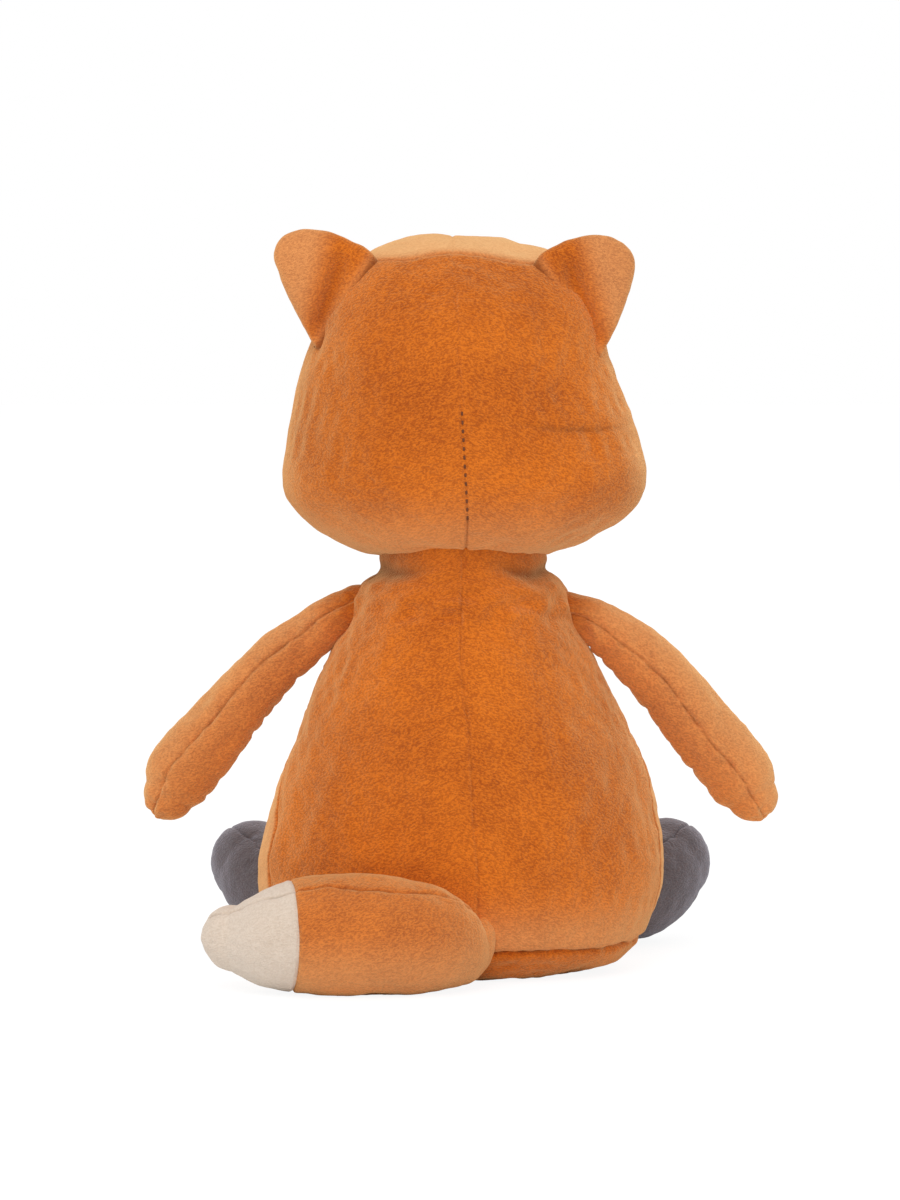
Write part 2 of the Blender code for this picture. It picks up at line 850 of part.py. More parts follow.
def make_eyes(paints):
    """Each eye: a domed bead with a shank through the cloth, and the washer that locks it from behind."""
    made = []
    for side, sign in (("left", 1), ("right", -1)):
        place, direction = eye_place(sign)
        low = eye_seat_clearance
        quarter = np.linspace(0, math.pi / 2, 6)
        dome = [(eye_radius * math.cos(t), low + eye_dome_height * math.sin(t)) for t in quarter[:-1]]
        profile = [(0, -eye_shank_length), (eye_shank_radius, -eye_shank_length), (eye_shank_radius, low)]
        profile += dome + [(0, low + eye_dome_height)]
        eye = finished(f"{side}_eye", turned_mesh("eye", profile), paints["black"])
        made.append(stand_on(eye, place, direction))
        bore = eye_shank_radius + washer_bore_clearance
        top = -cloth_thickness - seat_clearance
        bottom = top - washer_thickness
        profile = [(bore, bottom), (washer_radius, bottom), (washer_radius, top), (bore, top)]
        washer = finished(f"{side}_eye_washer", turned_mesh("washer", profile), paints["plastic"])
        made.append(stand_on(washer, place, direction))
    return made


def make_nose(paint, head_envelope):
    """The stitched nose, a rounded pad seated over the tip of the snout."""
    tip = head_skin(np.array(0.5), np.array(1.0), 0.0)
    stretch = (nose_half_width, nose_half_depth, nose_half_height)
    shape = ball_mesh("nose", 1.0, stretch)
    for vertex in shape.vertices:
        vertex.co.x *= 1 + 0.25 * vertex.co.z / nose_half_height
    nose = finished("nose", shape, paint)
    nose.location = Vector(tip) - Vector((0, 0, nose_drop))
    return cut(nose, head_envelope)


def make_ear(side, sign, paints, tools):
    """An ear: a back skin, a front skin and thin wadding, cut back where the head is."""
    turns = ring(ear_turns)
    shares = np.linspace(0, 1, 4) ** 0.7
    made = []
    for face, facing in (("back", 1), ("front", -1)):
        def skin(turn, share, depth, facing=facing):
            pad = ear_half_thickness(share) + seam_gap / 2 + cloth_thickness
            return ear_point(sign, turn, share, facing * (pad - depth))

        paint = paints["orange"] if face == "back" else paints["cream"]
        ear = sleeve(f"{side}_ear_{face}_panel", skin, *lattice(turns, shares), paint)
        made.append(cut(ear, *tools, solver="MANIFOLD"))

    depth = stuffing_clearance
    steps = np.linspace(0, ear_wadding_share, 3)
    facing = np.repeat([1.0, -1.0], len(steps))
    steps = np.concatenate([steps, steps[::-1]])
    turn_grid, step_grid = lattice(turns, steps)
    lift = (ear_half_thickness(step_grid) + seam_gap / 2 - depth) * facing[:, None]
    sewing = Sewing()
    numbers = sewing.grid(with_poles(ear_point(sign, turn_grid, step_grid, lift)))
    sewing.cloth(numbers, ring=True)
    wadding = finished(f"{side}_ear_wadding", sewing.mesh("wadding"), paints["white"])
    made.append(cut(wadding, *tools, solver="MANIFOLD"))
    return made


def limb_rows(first, last, count):
    """Shares along a limb, closer together in its round ends."""
    ends = cap_share * np.array([0, 1 / 3, 2 / 3])
    inner = np.linspace(cap_share, 1 - cap_share, count + 1)
    whole = np.concatenate([ends, inner, 1 - ends[::-1]])
    kept = whole[(whole > first + 0.02) & (whole < last - 0.02)]
    return np.concatenate([[first], kept, [last]])


def limb_halves(names, limb, first, last, count, paint, tools):
    """The two panels of a limb between two shares of its length."""
    edge = seam_gap / 2 / limb.sizes[0]
    start = first if first == 0 else first + edge
    stop = last if last == 1 else last - edge
    rows = limb_rows(start, stop, count)
    made = []
    for name, middle, sign in zip(names, (0.0, 0.5), (1, -1)):
        turns = middle + np.linspace(-0.25, 0.25, limb_columns + 1)
        half = panel(name, limb.skin, *lattice(turns, rows), paint, limb.panel_offset(sign))
        made.append(cut(half, *tools))
    return made


def limb_stuffing(name, limb, count, paint, tools):
    """The stuffing of a limb."""
    grid = lattice(ring(limb_columns), limb_rows(0, 1, count))
    return cut(stuffing(name, limb.skin, *grid, paint), *tools)


def root_place(angle, share, depth):
    """A limb's pivot, a little inside the torso's skin."""
    height = float(through(torso_shares, share)[0])
    return torso_skin(np.array(angle + seam_twist_angle * (1 - height)), np.array(share), depth)


def humped(share):
    """A hump of height one that peaks a third of the way along."""
    return 27 / 4 * share * (1 - share) ** 2


def arm_limb(sign):
    """The curve and thickness of an arm."""
    roll = left_arm_roll_angle if sign > 0 else right_arm_roll_angle
    pivot = root_place(sign * math.pi / 2, shoulder_share, shoulder_depth)
    reach = left_arm_reach if sign > 0 else right_arm_reach
    drop = left_arm_drop if sign > 0 else right_arm_drop
    hump = left_arm_hump_share if sign > 0 else right_arm_hump_share
    sizes = (reach, drop, arm_radius)
    shares = [(out, up + hump * humped(out), radius) for out, up, radius in arm_shares]
    return Limb(pivot, (sign, 0, 0), (0, 0, 1), shares, sizes, arm_flatness_share, roll * sign)


def leg_limb(sign):
    """The curve and thickness of a leg with its foot, splayed to one side."""
    pivot = root_place(sign * (math.pi - leg_splay_angle), hip_share, hip_depth)
    forward = (sign * math.sin(leg_splay_angle), -math.cos(leg_splay_angle), 0)
    sizes = (leg_length, leg_rise, leg_radius)
    return Limb(pivot, forward, (0, 0, 1), leg_shares, sizes, 1.0, math.pi / 2)


def tail_limb():
    """The curve and thickness of the tail, which lies round the left of the seat."""
    pivot = root_place(0, tail_root_share, tail_root_depth)
    sizes = (tail_length, tail_bow, tail_radius)
    return Limb(pivot, (1, 0, 0), (0, 1, 0), tail_shares, sizes, 1.0, tail_roll_angle)


def limb_stretch(limb):
    """How a ball is stretched to a limb's flatness."""
    return np.abs(limb.side) * (limb.flatness - 1) + 1


def reach_of_root(limb):
    """The radius within which a limb's root stays in its socket."""
    over = math.cos(math.pi / socket_segments) * math.cos(math.pi / 2 / socket_rings)
    return limb.root_radius() + root_clearance, over


def socket_for(name, limb):
    """The cutter that opens the torso round a limb's root."""
    radius, over = reach_of_root(limb)
    socket = cutter(name, ball_mesh(name, radius / over + socket_clearance, limb_stretch(limb)))
    socket.location = Vector(limb.pivot)
    return socket


def root_tools(name, limb, axis, angles, torso_envelope):
    """The cutters that clear a limb of the torso over its joint's range."""
    radius = reach_of_root(limb)[0]
    mesh = envelope_without_socket(name, torso_envelope, Vector(limb.pivot), radius, limb_stretch(limb))
    return swept_cutters(name, mesh, limb.pivot, axis, angles)


def make_arm(side, sign, limb, paints, torso_envelope):
    """An arm: an upper and a lower panel over its stuffing."""
    axis = (0, -sign, 0)
    tools = root_tools(f"{side}_arm_root", limb, axis, (0, arm_raise_angle), torso_envelope)
    names = (f"{side}_arm_upper_panel", f"{side}_arm_lower_panel")
    made = limb_halves(names, limb, 0, 1, arm_rows, paints["orange"], tools)
    made.append(limb_stuffing(f"{side}_arm_stuffing", limb, arm_rows, paints["white"], tools))
    return made


def make_leg(side, sign, limb, paints, torso_envelope):
    """A leg: an orange sleeve, a grey foot of two panels with a seam over the instep, and the stuffing."""
    axis = (limb.forward[1], -limb.forward[0], 0)
    tools = root_tools(f"{side}_leg_root", limb, axis, (-leg_droop_angle, leg_lift_angle), torso_envelope)
    rows = limb_rows(0, ankle_share - seam_gap / 2 / leg_length, leg_rows)
    leg = sleeve(f"{side}_leg_sleeve", limb.skin, *lattice(ring(2 * limb_columns), rows), paints["orange"])
    names = (f"{side}_foot_outer_panel", f"{side}_foot_inner_panel")
    if sign > 0:
        names = names[::-1]
    made = [cut(leg, *tools)] + limb_halves(names, limb, ankle_share, 1, leg_rows, paints["grey"], tools)
    made.append(limb_stuffing(f"{side}_leg_stuffing", limb, leg_rows, paints["white"], tools))
    return made


def make_tail(limb, paints, torso_envelope):
    """The tail: an outer and an inner panel, a cream tip of two more, and the stuffing."""
    tools = root_tools("tail_root", limb, (0, 0, 1), (0, tail_swing_angle), torso_envelope)
    split = tail_tip_share
    names = ("tail_outer_panel", "tail_inner_panel")
    made = limb_halves(names, limb, 0, split, tail_rows, paints["orange"], tools)
    names = ("tail_tip_outer_panel", "tail_tip_inner_panel")
    made += limb_halves(names, limb, split, 1, tail_rows, paints["cream"], tools[:1])
    made.append(limb_stuffing("tail_stuffing", limb, tail_rows, paints["white"], tools))
    return made


def main():
    clear_scene()
    paints = {
        "orange": material("orange_plush", orange_colour, 0.9),
        "cream": material("cream_plush", cream_colour, 0.9),
        "grey": material("grey_plush", grey_colour, 0.9),
        "black": material("black_gloss_plastic", black_colour, 0.12),
        "thread": material("black_nose_thread", black_colour, 0.45),
        "plastic": material("white_washer_plastic", white_colour, 0.4),
        "white": material("polyester_stuffing", white_colour, 0.95),
        "calico": material("pellet_bag_calico", calico_colour, 0.9),
    }

    # Limbs, their sockets in the torso, and the envelopes that clear one body of another.
    arms = {"left": arm_limb(1), "right": arm_limb(-1)}
    legs = {"left": leg_limb(1), "right": leg_limb(-1)}
    tail = tail_limb()
    sockets = [socket_for(f"{side}_shoulder_socket", arms[side]) for side in arms]
    sockets += [socket_for(f"{side}_hip_socket", legs[side]) for side in legs]
    sockets.append(socket_for("tail_socket", tail))
    neck_room = cutter("neck_room", ball_mesh("neck_room", neck_radius + seat_clearance))
    neck_room.location = (0, 0, neck_height)
    seat_rows = np.linspace(0, base_seam_share, base_rows + 1)
    upper_rows = np.linspace(base_seam_share, 1, wall_rows + 1)
    grid = lattice(torso_round(), np.concatenate([seat_rows, upper_rows[1:]]))
    torso_envelope = closed_mesh("torso_envelope", torso_skin, *grid, -seat_clearance)
    half = halved(head_round())
    around = np.concatenate([-half[::-1], half[1:-1]])
    back, front = head_rows(np.abs(around))
    shares = halved(np.concatenate([back, front[1:], np.ones_like(front[:1])]))
    around = np.broadcast_to(around, shares.shape)
    head_envelope = closed_mesh("head_envelope", head_skin, around, shares, -seat_clearance)

    torso = make_torso(paints, sockets)
    for piece in torso:
        if piece.name == "torso_stuffing":
            cut(piece, neck_room)

    neck_joint = pivot_empty("neck_joint", (0, 0, neck_height))
    hold(neck_joint, *make_neck(paints))
    head_joint = pivot_empty("head_joint", (0, 0, neck_height), neck_joint)
    rooms = {"left": make_eye_rooms(1, "left"), "right": make_eye_rooms(-1, "right")}
    nose_tool = cutter("head_in_the_way_of_the_nose", head_envelope)
    nods = (head_nod_angle, -head_nod_angle)
    pivot = (0, 0, neck_height)
    tools = swept_cutters("torso_below_the_head", torso_envelope, pivot, (1, 0, 0), nods)
    head = make_head(paints, [neck_room] + tools, rooms) + make_eyes(paints)
    head.append(make_nose(paints["thread"], nose_tool))
    bpy.context.view_layer.update()
    hold(head_joint, *head)

    for side, sign in (("left", 1), ("right", -1)):
        base, along, out, back = ear_frame(sign)
        angles = (ear_fold_angle, -ear_fold_angle)
        tools = swept_cutters(f"{side}_ear_base", head_envelope, base, along, angles)
        ear_joint = pivot_empty(f"{side}_ear_joint", base, head_joint)
        hold(ear_joint, *make_ear(side, sign, paints, tools))

        shoulder = pivot_empty(f"{side}_shoulder_joint", arms[side].pivot)
        hold(shoulder, *make_arm(side, sign, arms[side], paints, torso_envelope))

        hip = pivot_empty(f"{side}_hip_joint", legs[side].pivot)
        hold(hip, *make_leg(side, sign, legs[side], paints, torso_envelope))

    tail_joint = pivot_empty("tail_joint", tail.pivot)
    hold(tail_joint, *make_tail(tail, paints, torso_envelope))


main()
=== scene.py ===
# %% [markdown]
# This script dresses a plush fox, 26 cm tall, that sits with its back to the camera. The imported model
# gives the frame: bodies, joints, and a plain solid for each cut of cloth and each filling. Here each
# stuffed form becomes one fine skin with its seams, puckers and pile, and the skin is then parted by
# colour into the cuts of cloth that a maker would lay on the bench. Everything is in metres.

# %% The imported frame
import math

import bpy
import numpy as np
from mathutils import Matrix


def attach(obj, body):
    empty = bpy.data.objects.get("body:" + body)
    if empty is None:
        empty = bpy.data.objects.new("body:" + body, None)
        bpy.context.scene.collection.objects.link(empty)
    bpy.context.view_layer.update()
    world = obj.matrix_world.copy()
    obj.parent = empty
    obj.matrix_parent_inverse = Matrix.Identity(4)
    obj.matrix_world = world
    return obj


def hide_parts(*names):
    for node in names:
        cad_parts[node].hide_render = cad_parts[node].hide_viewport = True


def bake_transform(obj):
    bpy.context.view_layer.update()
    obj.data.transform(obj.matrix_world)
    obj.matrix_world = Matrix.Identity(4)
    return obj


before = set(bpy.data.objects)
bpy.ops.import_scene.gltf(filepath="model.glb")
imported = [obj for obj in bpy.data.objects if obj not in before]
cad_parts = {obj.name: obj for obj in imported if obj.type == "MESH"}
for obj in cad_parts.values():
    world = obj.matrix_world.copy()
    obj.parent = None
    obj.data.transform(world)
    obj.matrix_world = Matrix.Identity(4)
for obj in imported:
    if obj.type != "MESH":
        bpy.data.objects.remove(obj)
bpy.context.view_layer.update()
print("solids:", len(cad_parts))

# %% [markdown]
# The photograph was taken from a little above the middle of the back, from far enough away that the
# fox shows almost no perspective. A long lens at 2.2 m does the same. The long side of the picture
# covers 42 cm at the fox, and the fox's middle is a little to the right of the picture's.

# %% Camera
camera_distance = 2.2
camera_elevation = math.radians(4.6)
picture_height = 0.42
picture_middle = np.array([0.00315, 0.0, 0.12905])
sensor_height = 36.0

behind = np.array([0.0, math.cos(camera_elevation), math.sin(camera_elevation)])
lens = bpy.data.cameras.new("view_from_behind")
lens.sensor_fit = "VERTICAL"
lens.sensor_height = sensor_height
lens.lens = sensor_height * camera_distance / picture_height
camera = bpy.data.objects.new("view_from_behind", lens)
camera.location = picture_middle + camera_distance * behind
camera.rotation_euler = (math.pi / 2 - camera_elevation, 0, math.pi)
bpy.context.scene.collection.objects.link(camera)
bpy.context.scene.camera = camera
print(f"lens {lens.lens:.0f} mm at {camera_distance} m")

# %% [markdown]
# Shader graphs are easier to read as sums than as boxes and wires. One small class holds an output of a
# node. Sums and products on it add Math nodes, also with a number on the left, and one method adds any
# other node from its type, its settings and what goes into its sockets.


# %% Shader values as expressions
class Value:
    """An output of a shader node, or a whole tree before it has one."""

    def __init__(self, tree, socket=None):
        self.tree = tree
        self.socket = socket

    def node(self, kind, settings=(), inputs=(), output=0):
        """Adds a node of a kind: its settings, then the values or links of its sockets."""
        made = self.tree.nodes.new(kind)
        for name, value in dict(settings).items():
            setattr(made, name, value)
        for name, value in dict(inputs).items():
            if isinstance(value, Value):
                self.tree.links.new(value.socket, made.inputs[name])
            else:
                made.inputs[name].default_value = value
        return Value(self.tree, made.outputs[output])

    def math(self, operation, *values):
        """A Math node of some values."""
        return self.node("ShaderNodeMath", {"operation": operation}, enumerate(values))

    def __add__(self, other):
        return self.math("ADD", self, other)

    def __sub__(self, other):
        return self.math("SUBTRACT", self, other)

    def __rsub__(self, other):
        return self.math("SUBTRACT", other, self)

    def __mul__(self, other):
        return self.math("MULTIPLY", self, other)

    def __truediv__(self, other):
        return self.math("DIVIDE", self, other)

    __radd__ = __add__
    __rmul__ = __mul__

    def between(self, low, high):
        """0 at low and 1 at high, with a soft step between them."""
        settings = {"interpolation_type": "SMOOTHSTEP"}
        inputs = {"Value": self, "From Min": low, "From Max": high}
        return self.node("ShaderNodeMapRange", settings, inputs)

    def colour(self, nought, one):
        """The colour nought where the value is 0, and one where it is 1."""
        a, b = (tint if isinstance(tint, Value) else (*tint, 1) for tint in (nought, one))
        return self.node("ShaderNodeMix", {"data_type": "RGBA"}, {0: self, 6: a, 7: b}, 2)

    def noise(self, place, scale, detail=2.0):
        """Noise at a place, with so many waves to the metre."""
        inputs = {"Vector": place, "Scale": scale, "Detail": detail}
        return self.node("ShaderNodeTexNoise", (), inputs)


def new_material(name):
    """A material with its graph, its Principled shader and the place on the fox."""
    made = bpy.data.materials.new(name)
    made.use_nodes = True
    graph = Value(made.node_tree)
    place = graph.node("ShaderNodeTexCoord", output="Object")
    return made, graph, made.node_tree.nodes["Principled BSDF"], place


def wire(shader, **inputs):
    """Sets or links sockets of a shader. An underscore stands for a space."""
    for name, value in inputs.items():
        socket = shader.inputs[name.replace("_", " ")]
        if isinstance(value, Value):
            value.tree.links.new(value.socket, socket)
        else:
            socket.default_value = value


# %% [markdown]
# The cloth is a short velvety pile. Two things give velvet its look. Fibre tips catch the light at a low
# angle, so every edge and top is a pale tan: that is the shader's sheen. And the pile lies one way, so it
# is paler where it is brushed away from the viewer. The meshes carry a pale share as an attribute: partly
# this lay of the pile and partly painted sheen on rims, tops and edges. Another attribute is painted
# shade: the dark line in which two cuts meet, and the shade in folds, creases, at the roots of ears and
# arms and under the head. Noise at four sizes gives tufts a millimetre long, flecks, wisps and patches as
# large as a thumb.

# %% Plush cloth
tuft_waves = 1800.0
fleck_waves = 3000.0
wisp_waves = tuft_waves / 3
patch_waves = 30.0
tuft_share, fleck_share, wisp_share, patch_share = 0.42, 0.18, 0.12, 0.28
tuft_length = 1.8
tuft_height = 0.0007
nap_lean = 0.22
sheen_tint = (1.0, 0.62, 0.28, 1)


def plush(name, deep, pale, nap_and_sheen_pale, dark, sheen=1.0, tint=sheen_tint):
    """Short pile between a deep and a pale tone, with a pale tan painted in as sheen and as the lay of the
    pile, and a dark tone painted in as shade. The tufts lie across the fox in a shallow herringbone: noise
    read at z + lean * |x|, drawn out sideways."""
    made, graph, shader, place = new_material(name)
    parts = place.node("ShaderNodeSeparateXYZ", (), {0: place}, 0)
    x, y, z = (Value(parts.tree, parts.socket.node.outputs[k]) for k in range(3))
    place = graph.node("ShaderNodeCombineXYZ", (), {0: x, 1: y, 2: z + nap_lean * x.math("ABSOLUTE", x)})
    drawn_out = {"Vector": place, "Scale": (1 / tuft_length, 1 / tuft_length, 1)}
    along = graph.node("ShaderNodeMapping", (), drawn_out)
    tufts = graph.noise(along, tuft_waves, 2.0)
    flecks = graph.noise(place, fleck_waves, 1.0)
    wisps = graph.noise(along, wisp_waves, 2.0).between(0.35, 0.65)
    patches = graph.noise(place, patch_waves, 4.0).between(0.32, 0.68)
    tone = tuft_share * tufts.between(0.39, 0.61) + fleck_share * flecks.between(0.38, 0.62)
    tone = tone + wisp_share * wisps + patch_share * patches
    # Painted light and shade: a pale tan for sheen and the lay of the pile, and a dark tone for shade.
    nap_and_sheen = graph.node("ShaderNodeAttribute", {"attribute_name": "nap_and_sheen"}, (), "Fac")
    shaded = graph.node("ShaderNodeAttribute", {"attribute_name": "painted_shade"}, (), "Fac")
    pale_share = nap_and_sheen * (0.72 + 0.5 * tone)
    pile = pale_share.colour(tone.colour(deep, pale), nap_and_sheen_pale)
    raised = {"Strength": 0.85, "Distance": tuft_height, "Height": 0.7 * tufts + 0.3 * flecks}
    wire(
        shader,
        Base_Color=shaded.colour(pile, dark),
        Roughness=0.98 - 0.12 * tone,
        Specular_IOR_Level=0.12,
        Sheen_Weight=sheen,
        Sheen_Roughness=0.55,
        Sheen_Tint=tint,
        Normal=graph.node("ShaderNodeBump", (), raised),
    )
    return made


cream_tint = (1.0, 0.93, 0.85, 1)
grey_tint = (0.9, 0.88, 1.0, 1)
orange = plush(
    "orange_plush",
    deep=(0.34, 0.050, 0.001),
    pale=(0.84, 0.203, 0.009),
    nap_and_sheen_pale=(0.90, 0.47, 0.20),
    dark=(0.15, 0.026, 0.004),
)
cream = plush(
    "cream_plush",
    deep=(0.66, 0.52, 0.40),
    pale=(0.82, 0.68, 0.56),
    nap_and_sheen_pale=(0.86, 0.78, 0.68),
    dark=(0.30, 0.20, 0.13),
    sheen=0.5,
    tint=cream_tint,
)
grey = plush(
    "grey_plush",
    deep=(0.082, 0.068, 0.070),
    pale=(0.150, 0.126, 0.130),
    nap_and_sheen_pale=(0.20, 0.18, 0.19),
    dark=(0.022, 0.018, 0.020),
    sheen=0.6,
    tint=grey_tint,
)
print("pile tones ready:", orange.name, cream.name, grey.name)

# %% [markdown]
# The floor and everything behind it is plain white paper. The light is a big soft box over the camera,
# a weaker one in front of the fox, so that its face is lit too, and a white room. A lamp's power is
# worked out from the level it should give on a white surface.

# %% Floor, backdrop and light
floor_half_width = 4.0
floor_white = 0.96
floor_glow = 1.08
floor_shown = 0.84
room_level = 0.62


def softbox(name, place, width, level):
    """A square lamp that lights a white surface facing it to a level, where 1 is white."""
    lamp = bpy.data.lights.new(name, "AREA")
    lamp.size = width
    away = np.array(place) - picture_middle
    lamp.energy = level * math.pi**2 * float(away @ away)
    made = bpy.data.objects.new(name, lamp)
    made.location = place
    flat = math.hypot(away[0], away[1])
    made.rotation_euler = (math.atan2(flat, away[2]), 0, math.atan2(away[1], away[0]) + math.pi / 2)
    bpy.context.scene.collection.objects.link(made)
    return made


paper, graph, shader, place = new_material("white_paper")
seen = graph.node("ShaderNodeLightPath", output="Is Camera Ray")
mirrored = graph.node("ShaderNodeLightPath", output="Is Glossy Ray")
glow = graph.node("ShaderNodeEmission", (), {"Color": (1, 1, 1, 1), "Strength": floor_glow})
matt = graph.node("ShaderNodeBsdfDiffuse", (), {"Color": (floor_white, floor_white, floor_white, 1)})
shown = graph.math("MAXIMUM", seen, mirrored) * floor_shown
mixed = graph.node("ShaderNodeMixShader", (), {0: shown, 1: matt, 2: glow})
output = paper.node_tree.nodes["Material Output"]
paper.node_tree.links.new(mixed.socket, output.inputs["Surface"])
paper.node_tree.nodes.remove(shader)

corners = floor_half_width * np.array([(-1, -1, 0), (1, -1, 0), (1, 1, 0), (-1, 1, 0)])
floor_mesh = bpy.data.meshes.new("floor")
floor_mesh.from_pydata(corners.tolist(), [], [(0, 1, 2, 3)])
floor_mesh.materials.append(paper)
floor = bpy.data.objects.new("floor", floor_mesh)
bpy.context.scene.collection.objects.link(floor)

world = bpy.data.worlds.new("white_room")
bpy.context.scene.world = world
world.use_nodes = True
graph = Value(world.node_tree)
seen = graph.node("ShaderNodeLightPath", output="Is Camera Ray")
level = room_level + (1 - room_level) * seen
background = world.node_tree.nodes["Background"]
background.inputs["Color"].default_value = (1, 1, 1, 1)
world.node_tree.links.new(level.socket, background.inputs["Strength"])

softbox("box_over_camera", (0.35, 1.7, 1.9), 1.5, 0.42)
softbox("box_in_front", (-0.6, -1.8, 1.5), 1.6, 0.30)
bpy.context.scene.view_settings.view_transform = "Standard"
print("room level", room_level, "with two soft boxes")

# %% [markdown]
# Every form is a function of two parameters: which way round it, and how far from one pole to the
# other. These helpers are the curve that runs smoothly through a table of outline rows, and a smooth
# noise that can be read at any place, for dents and tufts.


# %% Curves and waves
def through(rows, share):
    """The row at share, 0 to 1, of a smooth curve through evenly spaced rows: each stretch is a cubic
    whose slope at a row is half the step between that row's neighbours."""
    rows = np.asarray(rows, float)
    last = len(rows) - 1
    place = np.clip(np.asarray(share, float), 0, 1) * last
    index = np.minimum(place.astype(int), last - 1)
    part = (place - index)[..., None]
    before, here, there, after = (rows[np.clip(index + k, 0, last)] for k in (-1, 0, 1, 2))
    square = 2 * before - 5 * here + 4 * there - after
    cube = 3 * here - before - 3 * there + after
    return 0.5 * (2 * here + (there - before) * part + square * part**2 + cube * part**3)


def unit(vectors):
    """The vectors at length one."""
    return vectors / np.maximum(np.linalg.norm(vectors, axis=-1, keepdims=True), 1e-18)


def waves(points, length, seed, stretch=(1, 1, 1), count=28):
    """Smooth noise of about unit size: a sum of cosines of the place, whose directions, lengths and
    phases are seeded random numbers. stretch draws it out along an axis."""
    dice = np.random.default_rng(seed)
    heading = unit(dice.normal(size=(count, 3)))
    pitch = 2 * math.pi / (length * dice.uniform(0.75, 1.4, count))
    angle = (points / np.array(stretch)) @ (heading * pitch[:, None]).T
    return np.cos(angle + dice.uniform(0, 2 * math.pi, count)).sum(axis=-1) * math.sqrt(2 / count)


def soft_step(values, low, high):
    """0 up to low and 1 from high, with a smooth step between them."""
    part = np.clip((values - low) / (high - low), 0, 1)
    return part * part * (3 - 2 * part)


def dip(distance, width):
    """A round dip of depth one: the bell exp(-(distance / width)^2)."""
    return np.exp(-((distance / width) ** 2))


# %% [markdown]
# A skin is a grid of points over such a function. A seam is a line of the grid, so the grid has stops
# at the seams, and its lines crowd together there: a seam is a groove only a millimetre wide. The skin
# can say how far each of its points is from a seam along the cloth, which is what a groove or a row of
# puckers is worked out from.

# %% Skins
seam_crowding = 3.0
seam_reach = 0.0022
density_steps = 1000
probe_steps = 16


def graded(length, spacing, crowding):
    """Shares of a length, about spacing apart, and closer near both ends: the places where the
    running sum of the density 1 + crowding * bell(distance from an end) reaches whole steps."""
    share = np.linspace(0, 1, density_steps + 1)
    density = 1 + crowding * dip(np.minimum(share, 1 - share) * length, seam_reach)
    total = np.concatenate([[0], np.cumsum((density[1:] + density[:-1]) / 2)])
    steps = max(2, round(length / spacing * total[-1] / density_steps))
    return np.interp(np.linspace(0, total[-1], steps + 1), total, share)


def laid_out(stops, lengths, spacing, crowding):
    """Parameters from the first stop to the last, and the number of each stop among them."""
    values, numbers = [], [0]
    for low, high, length in zip(stops[:-1], stops[1:], lengths):
        shares = graded(length, spacing, crowding)
        values.append(low + (high - low) * shares[:-1])
        numbers.append(numbers[-1] + len(shares) - 1)
    return np.concatenate([*values, [stops[-1]]]), numbers


class Skin:
    """A closed skin as a grid of points. Columns run round it, the last being the first again, and
    rows run from one pole to the other."""

    def __init__(self, surface, column_stops, row_stops, spacing, crowding=seam_crowding):
        self.surface = surface
        self.stops = (column_stops, row_stops)
        probes = []
        for stops in self.stops:
            shares = np.arange(probe_steps) / probe_steps
            starts, ends = np.array(stops[:-1])[:, None], np.array(stops[1:])[:, None]
            probes.append(np.append((starts + (ends - starts) * shares).ravel(), stops[-1]))
        points = surface(*np.meshgrid(*probes))
        across = np.linalg.norm(np.diff(points, axis=1), axis=-1)
        down = np.linalg.norm(np.diff(points, axis=0), axis=-1).T
        across = across.reshape(len(points), -1, probe_steps).sum(axis=2).max(axis=0)
        down = down.reshape(points.shape[1], -1, probe_steps).sum(axis=2).max(axis=0)
        self.columns, self.column_at = laid_out(column_stops, across, spacing, crowding)
        self.rows, self.row_at = laid_out(row_stops, down, spacing, crowding)
        self.points = surface(*np.meshgrid(self.columns, self.rows))
        self.measure()
        self.shade = np.zeros(self.points.shape[:2])
        self.nap_and_sheen = np.zeros(self.points.shape[:2])

    def measure(self):
        """Works out the normals and the lengths run along the rows and the columns."""
        points = self.points
        points[:, -1] = points[:, 0]
        across = np.empty_like(points)
        across[:, 1:-1] = points[:, 2:] - points[:, :-2]
        across[:, 0] = across[:, -1] = points[:, 1] - points[:, -2]
        down = np.gradient(points, axis=0)
        self.normals = unit(np.cross(across, down))
        for pole, beside in ((0, 1), (-1, -2)):
            self.normals[pole] = unit(self.normals[beside].mean(axis=0))
        self.normals *= np.sign(np.sum(self.normals * (points - points.mean(axis=(0, 1)))))
        steps = np.linalg.norm(np.diff(points, axis=1), axis=-1)
        self.run_across = np.pad(np.cumsum(steps, axis=1), ((0, 0), (1, 0)))
        steps = np.linalg.norm(np.diff(points, axis=0), axis=-1)
        self.run_down = np.pad(np.cumsum(steps, axis=0), ((1, 0), (0, 0)))

    def from_column(self, stop):
        """How far each point is from a stop's column, along its row and the shorter way round."""
        at = self.column_at[stop]
        away = np.abs(self.run_across - self.run_across[:, at : at + 1])
        return np.minimum(away, self.run_across[:, -1:] - away)

    def from_row(self, stop):
        """How far each point is from a stop's row, along its column."""
        at = self.row_at[stop]
        return np.abs(self.run_down - self.run_down[at : at + 1])

    def lift(self, height):
        """Moves each point along its normal."""
        self.points = self.points + height[..., None] * self.normals
        self.measure()

    def area(self, columns=(0, -1), rows=(0, -1)):
        """The faces between two column stops and two row stops, as a mask."""
        mask = np.zeros((len(self.rows) - 1, len(self.columns) - 1), bool)
        left, right = (self.column_at[k] for k in columns)
        top, bottom = (self.row_at[k] for k in rows)
        mask[top:bottom, left:right] = True
        return mask

    def numbers(self):
        """A number for each point, the same for points that are one."""
        height, width = self.points.shape[:2]
        made = np.arange(height * width).reshape(height, width)
        made[:, -1] = made[:, 0]
        made[0] = made[0, 0]
        made[-1] = made[-1, 0]
        return made


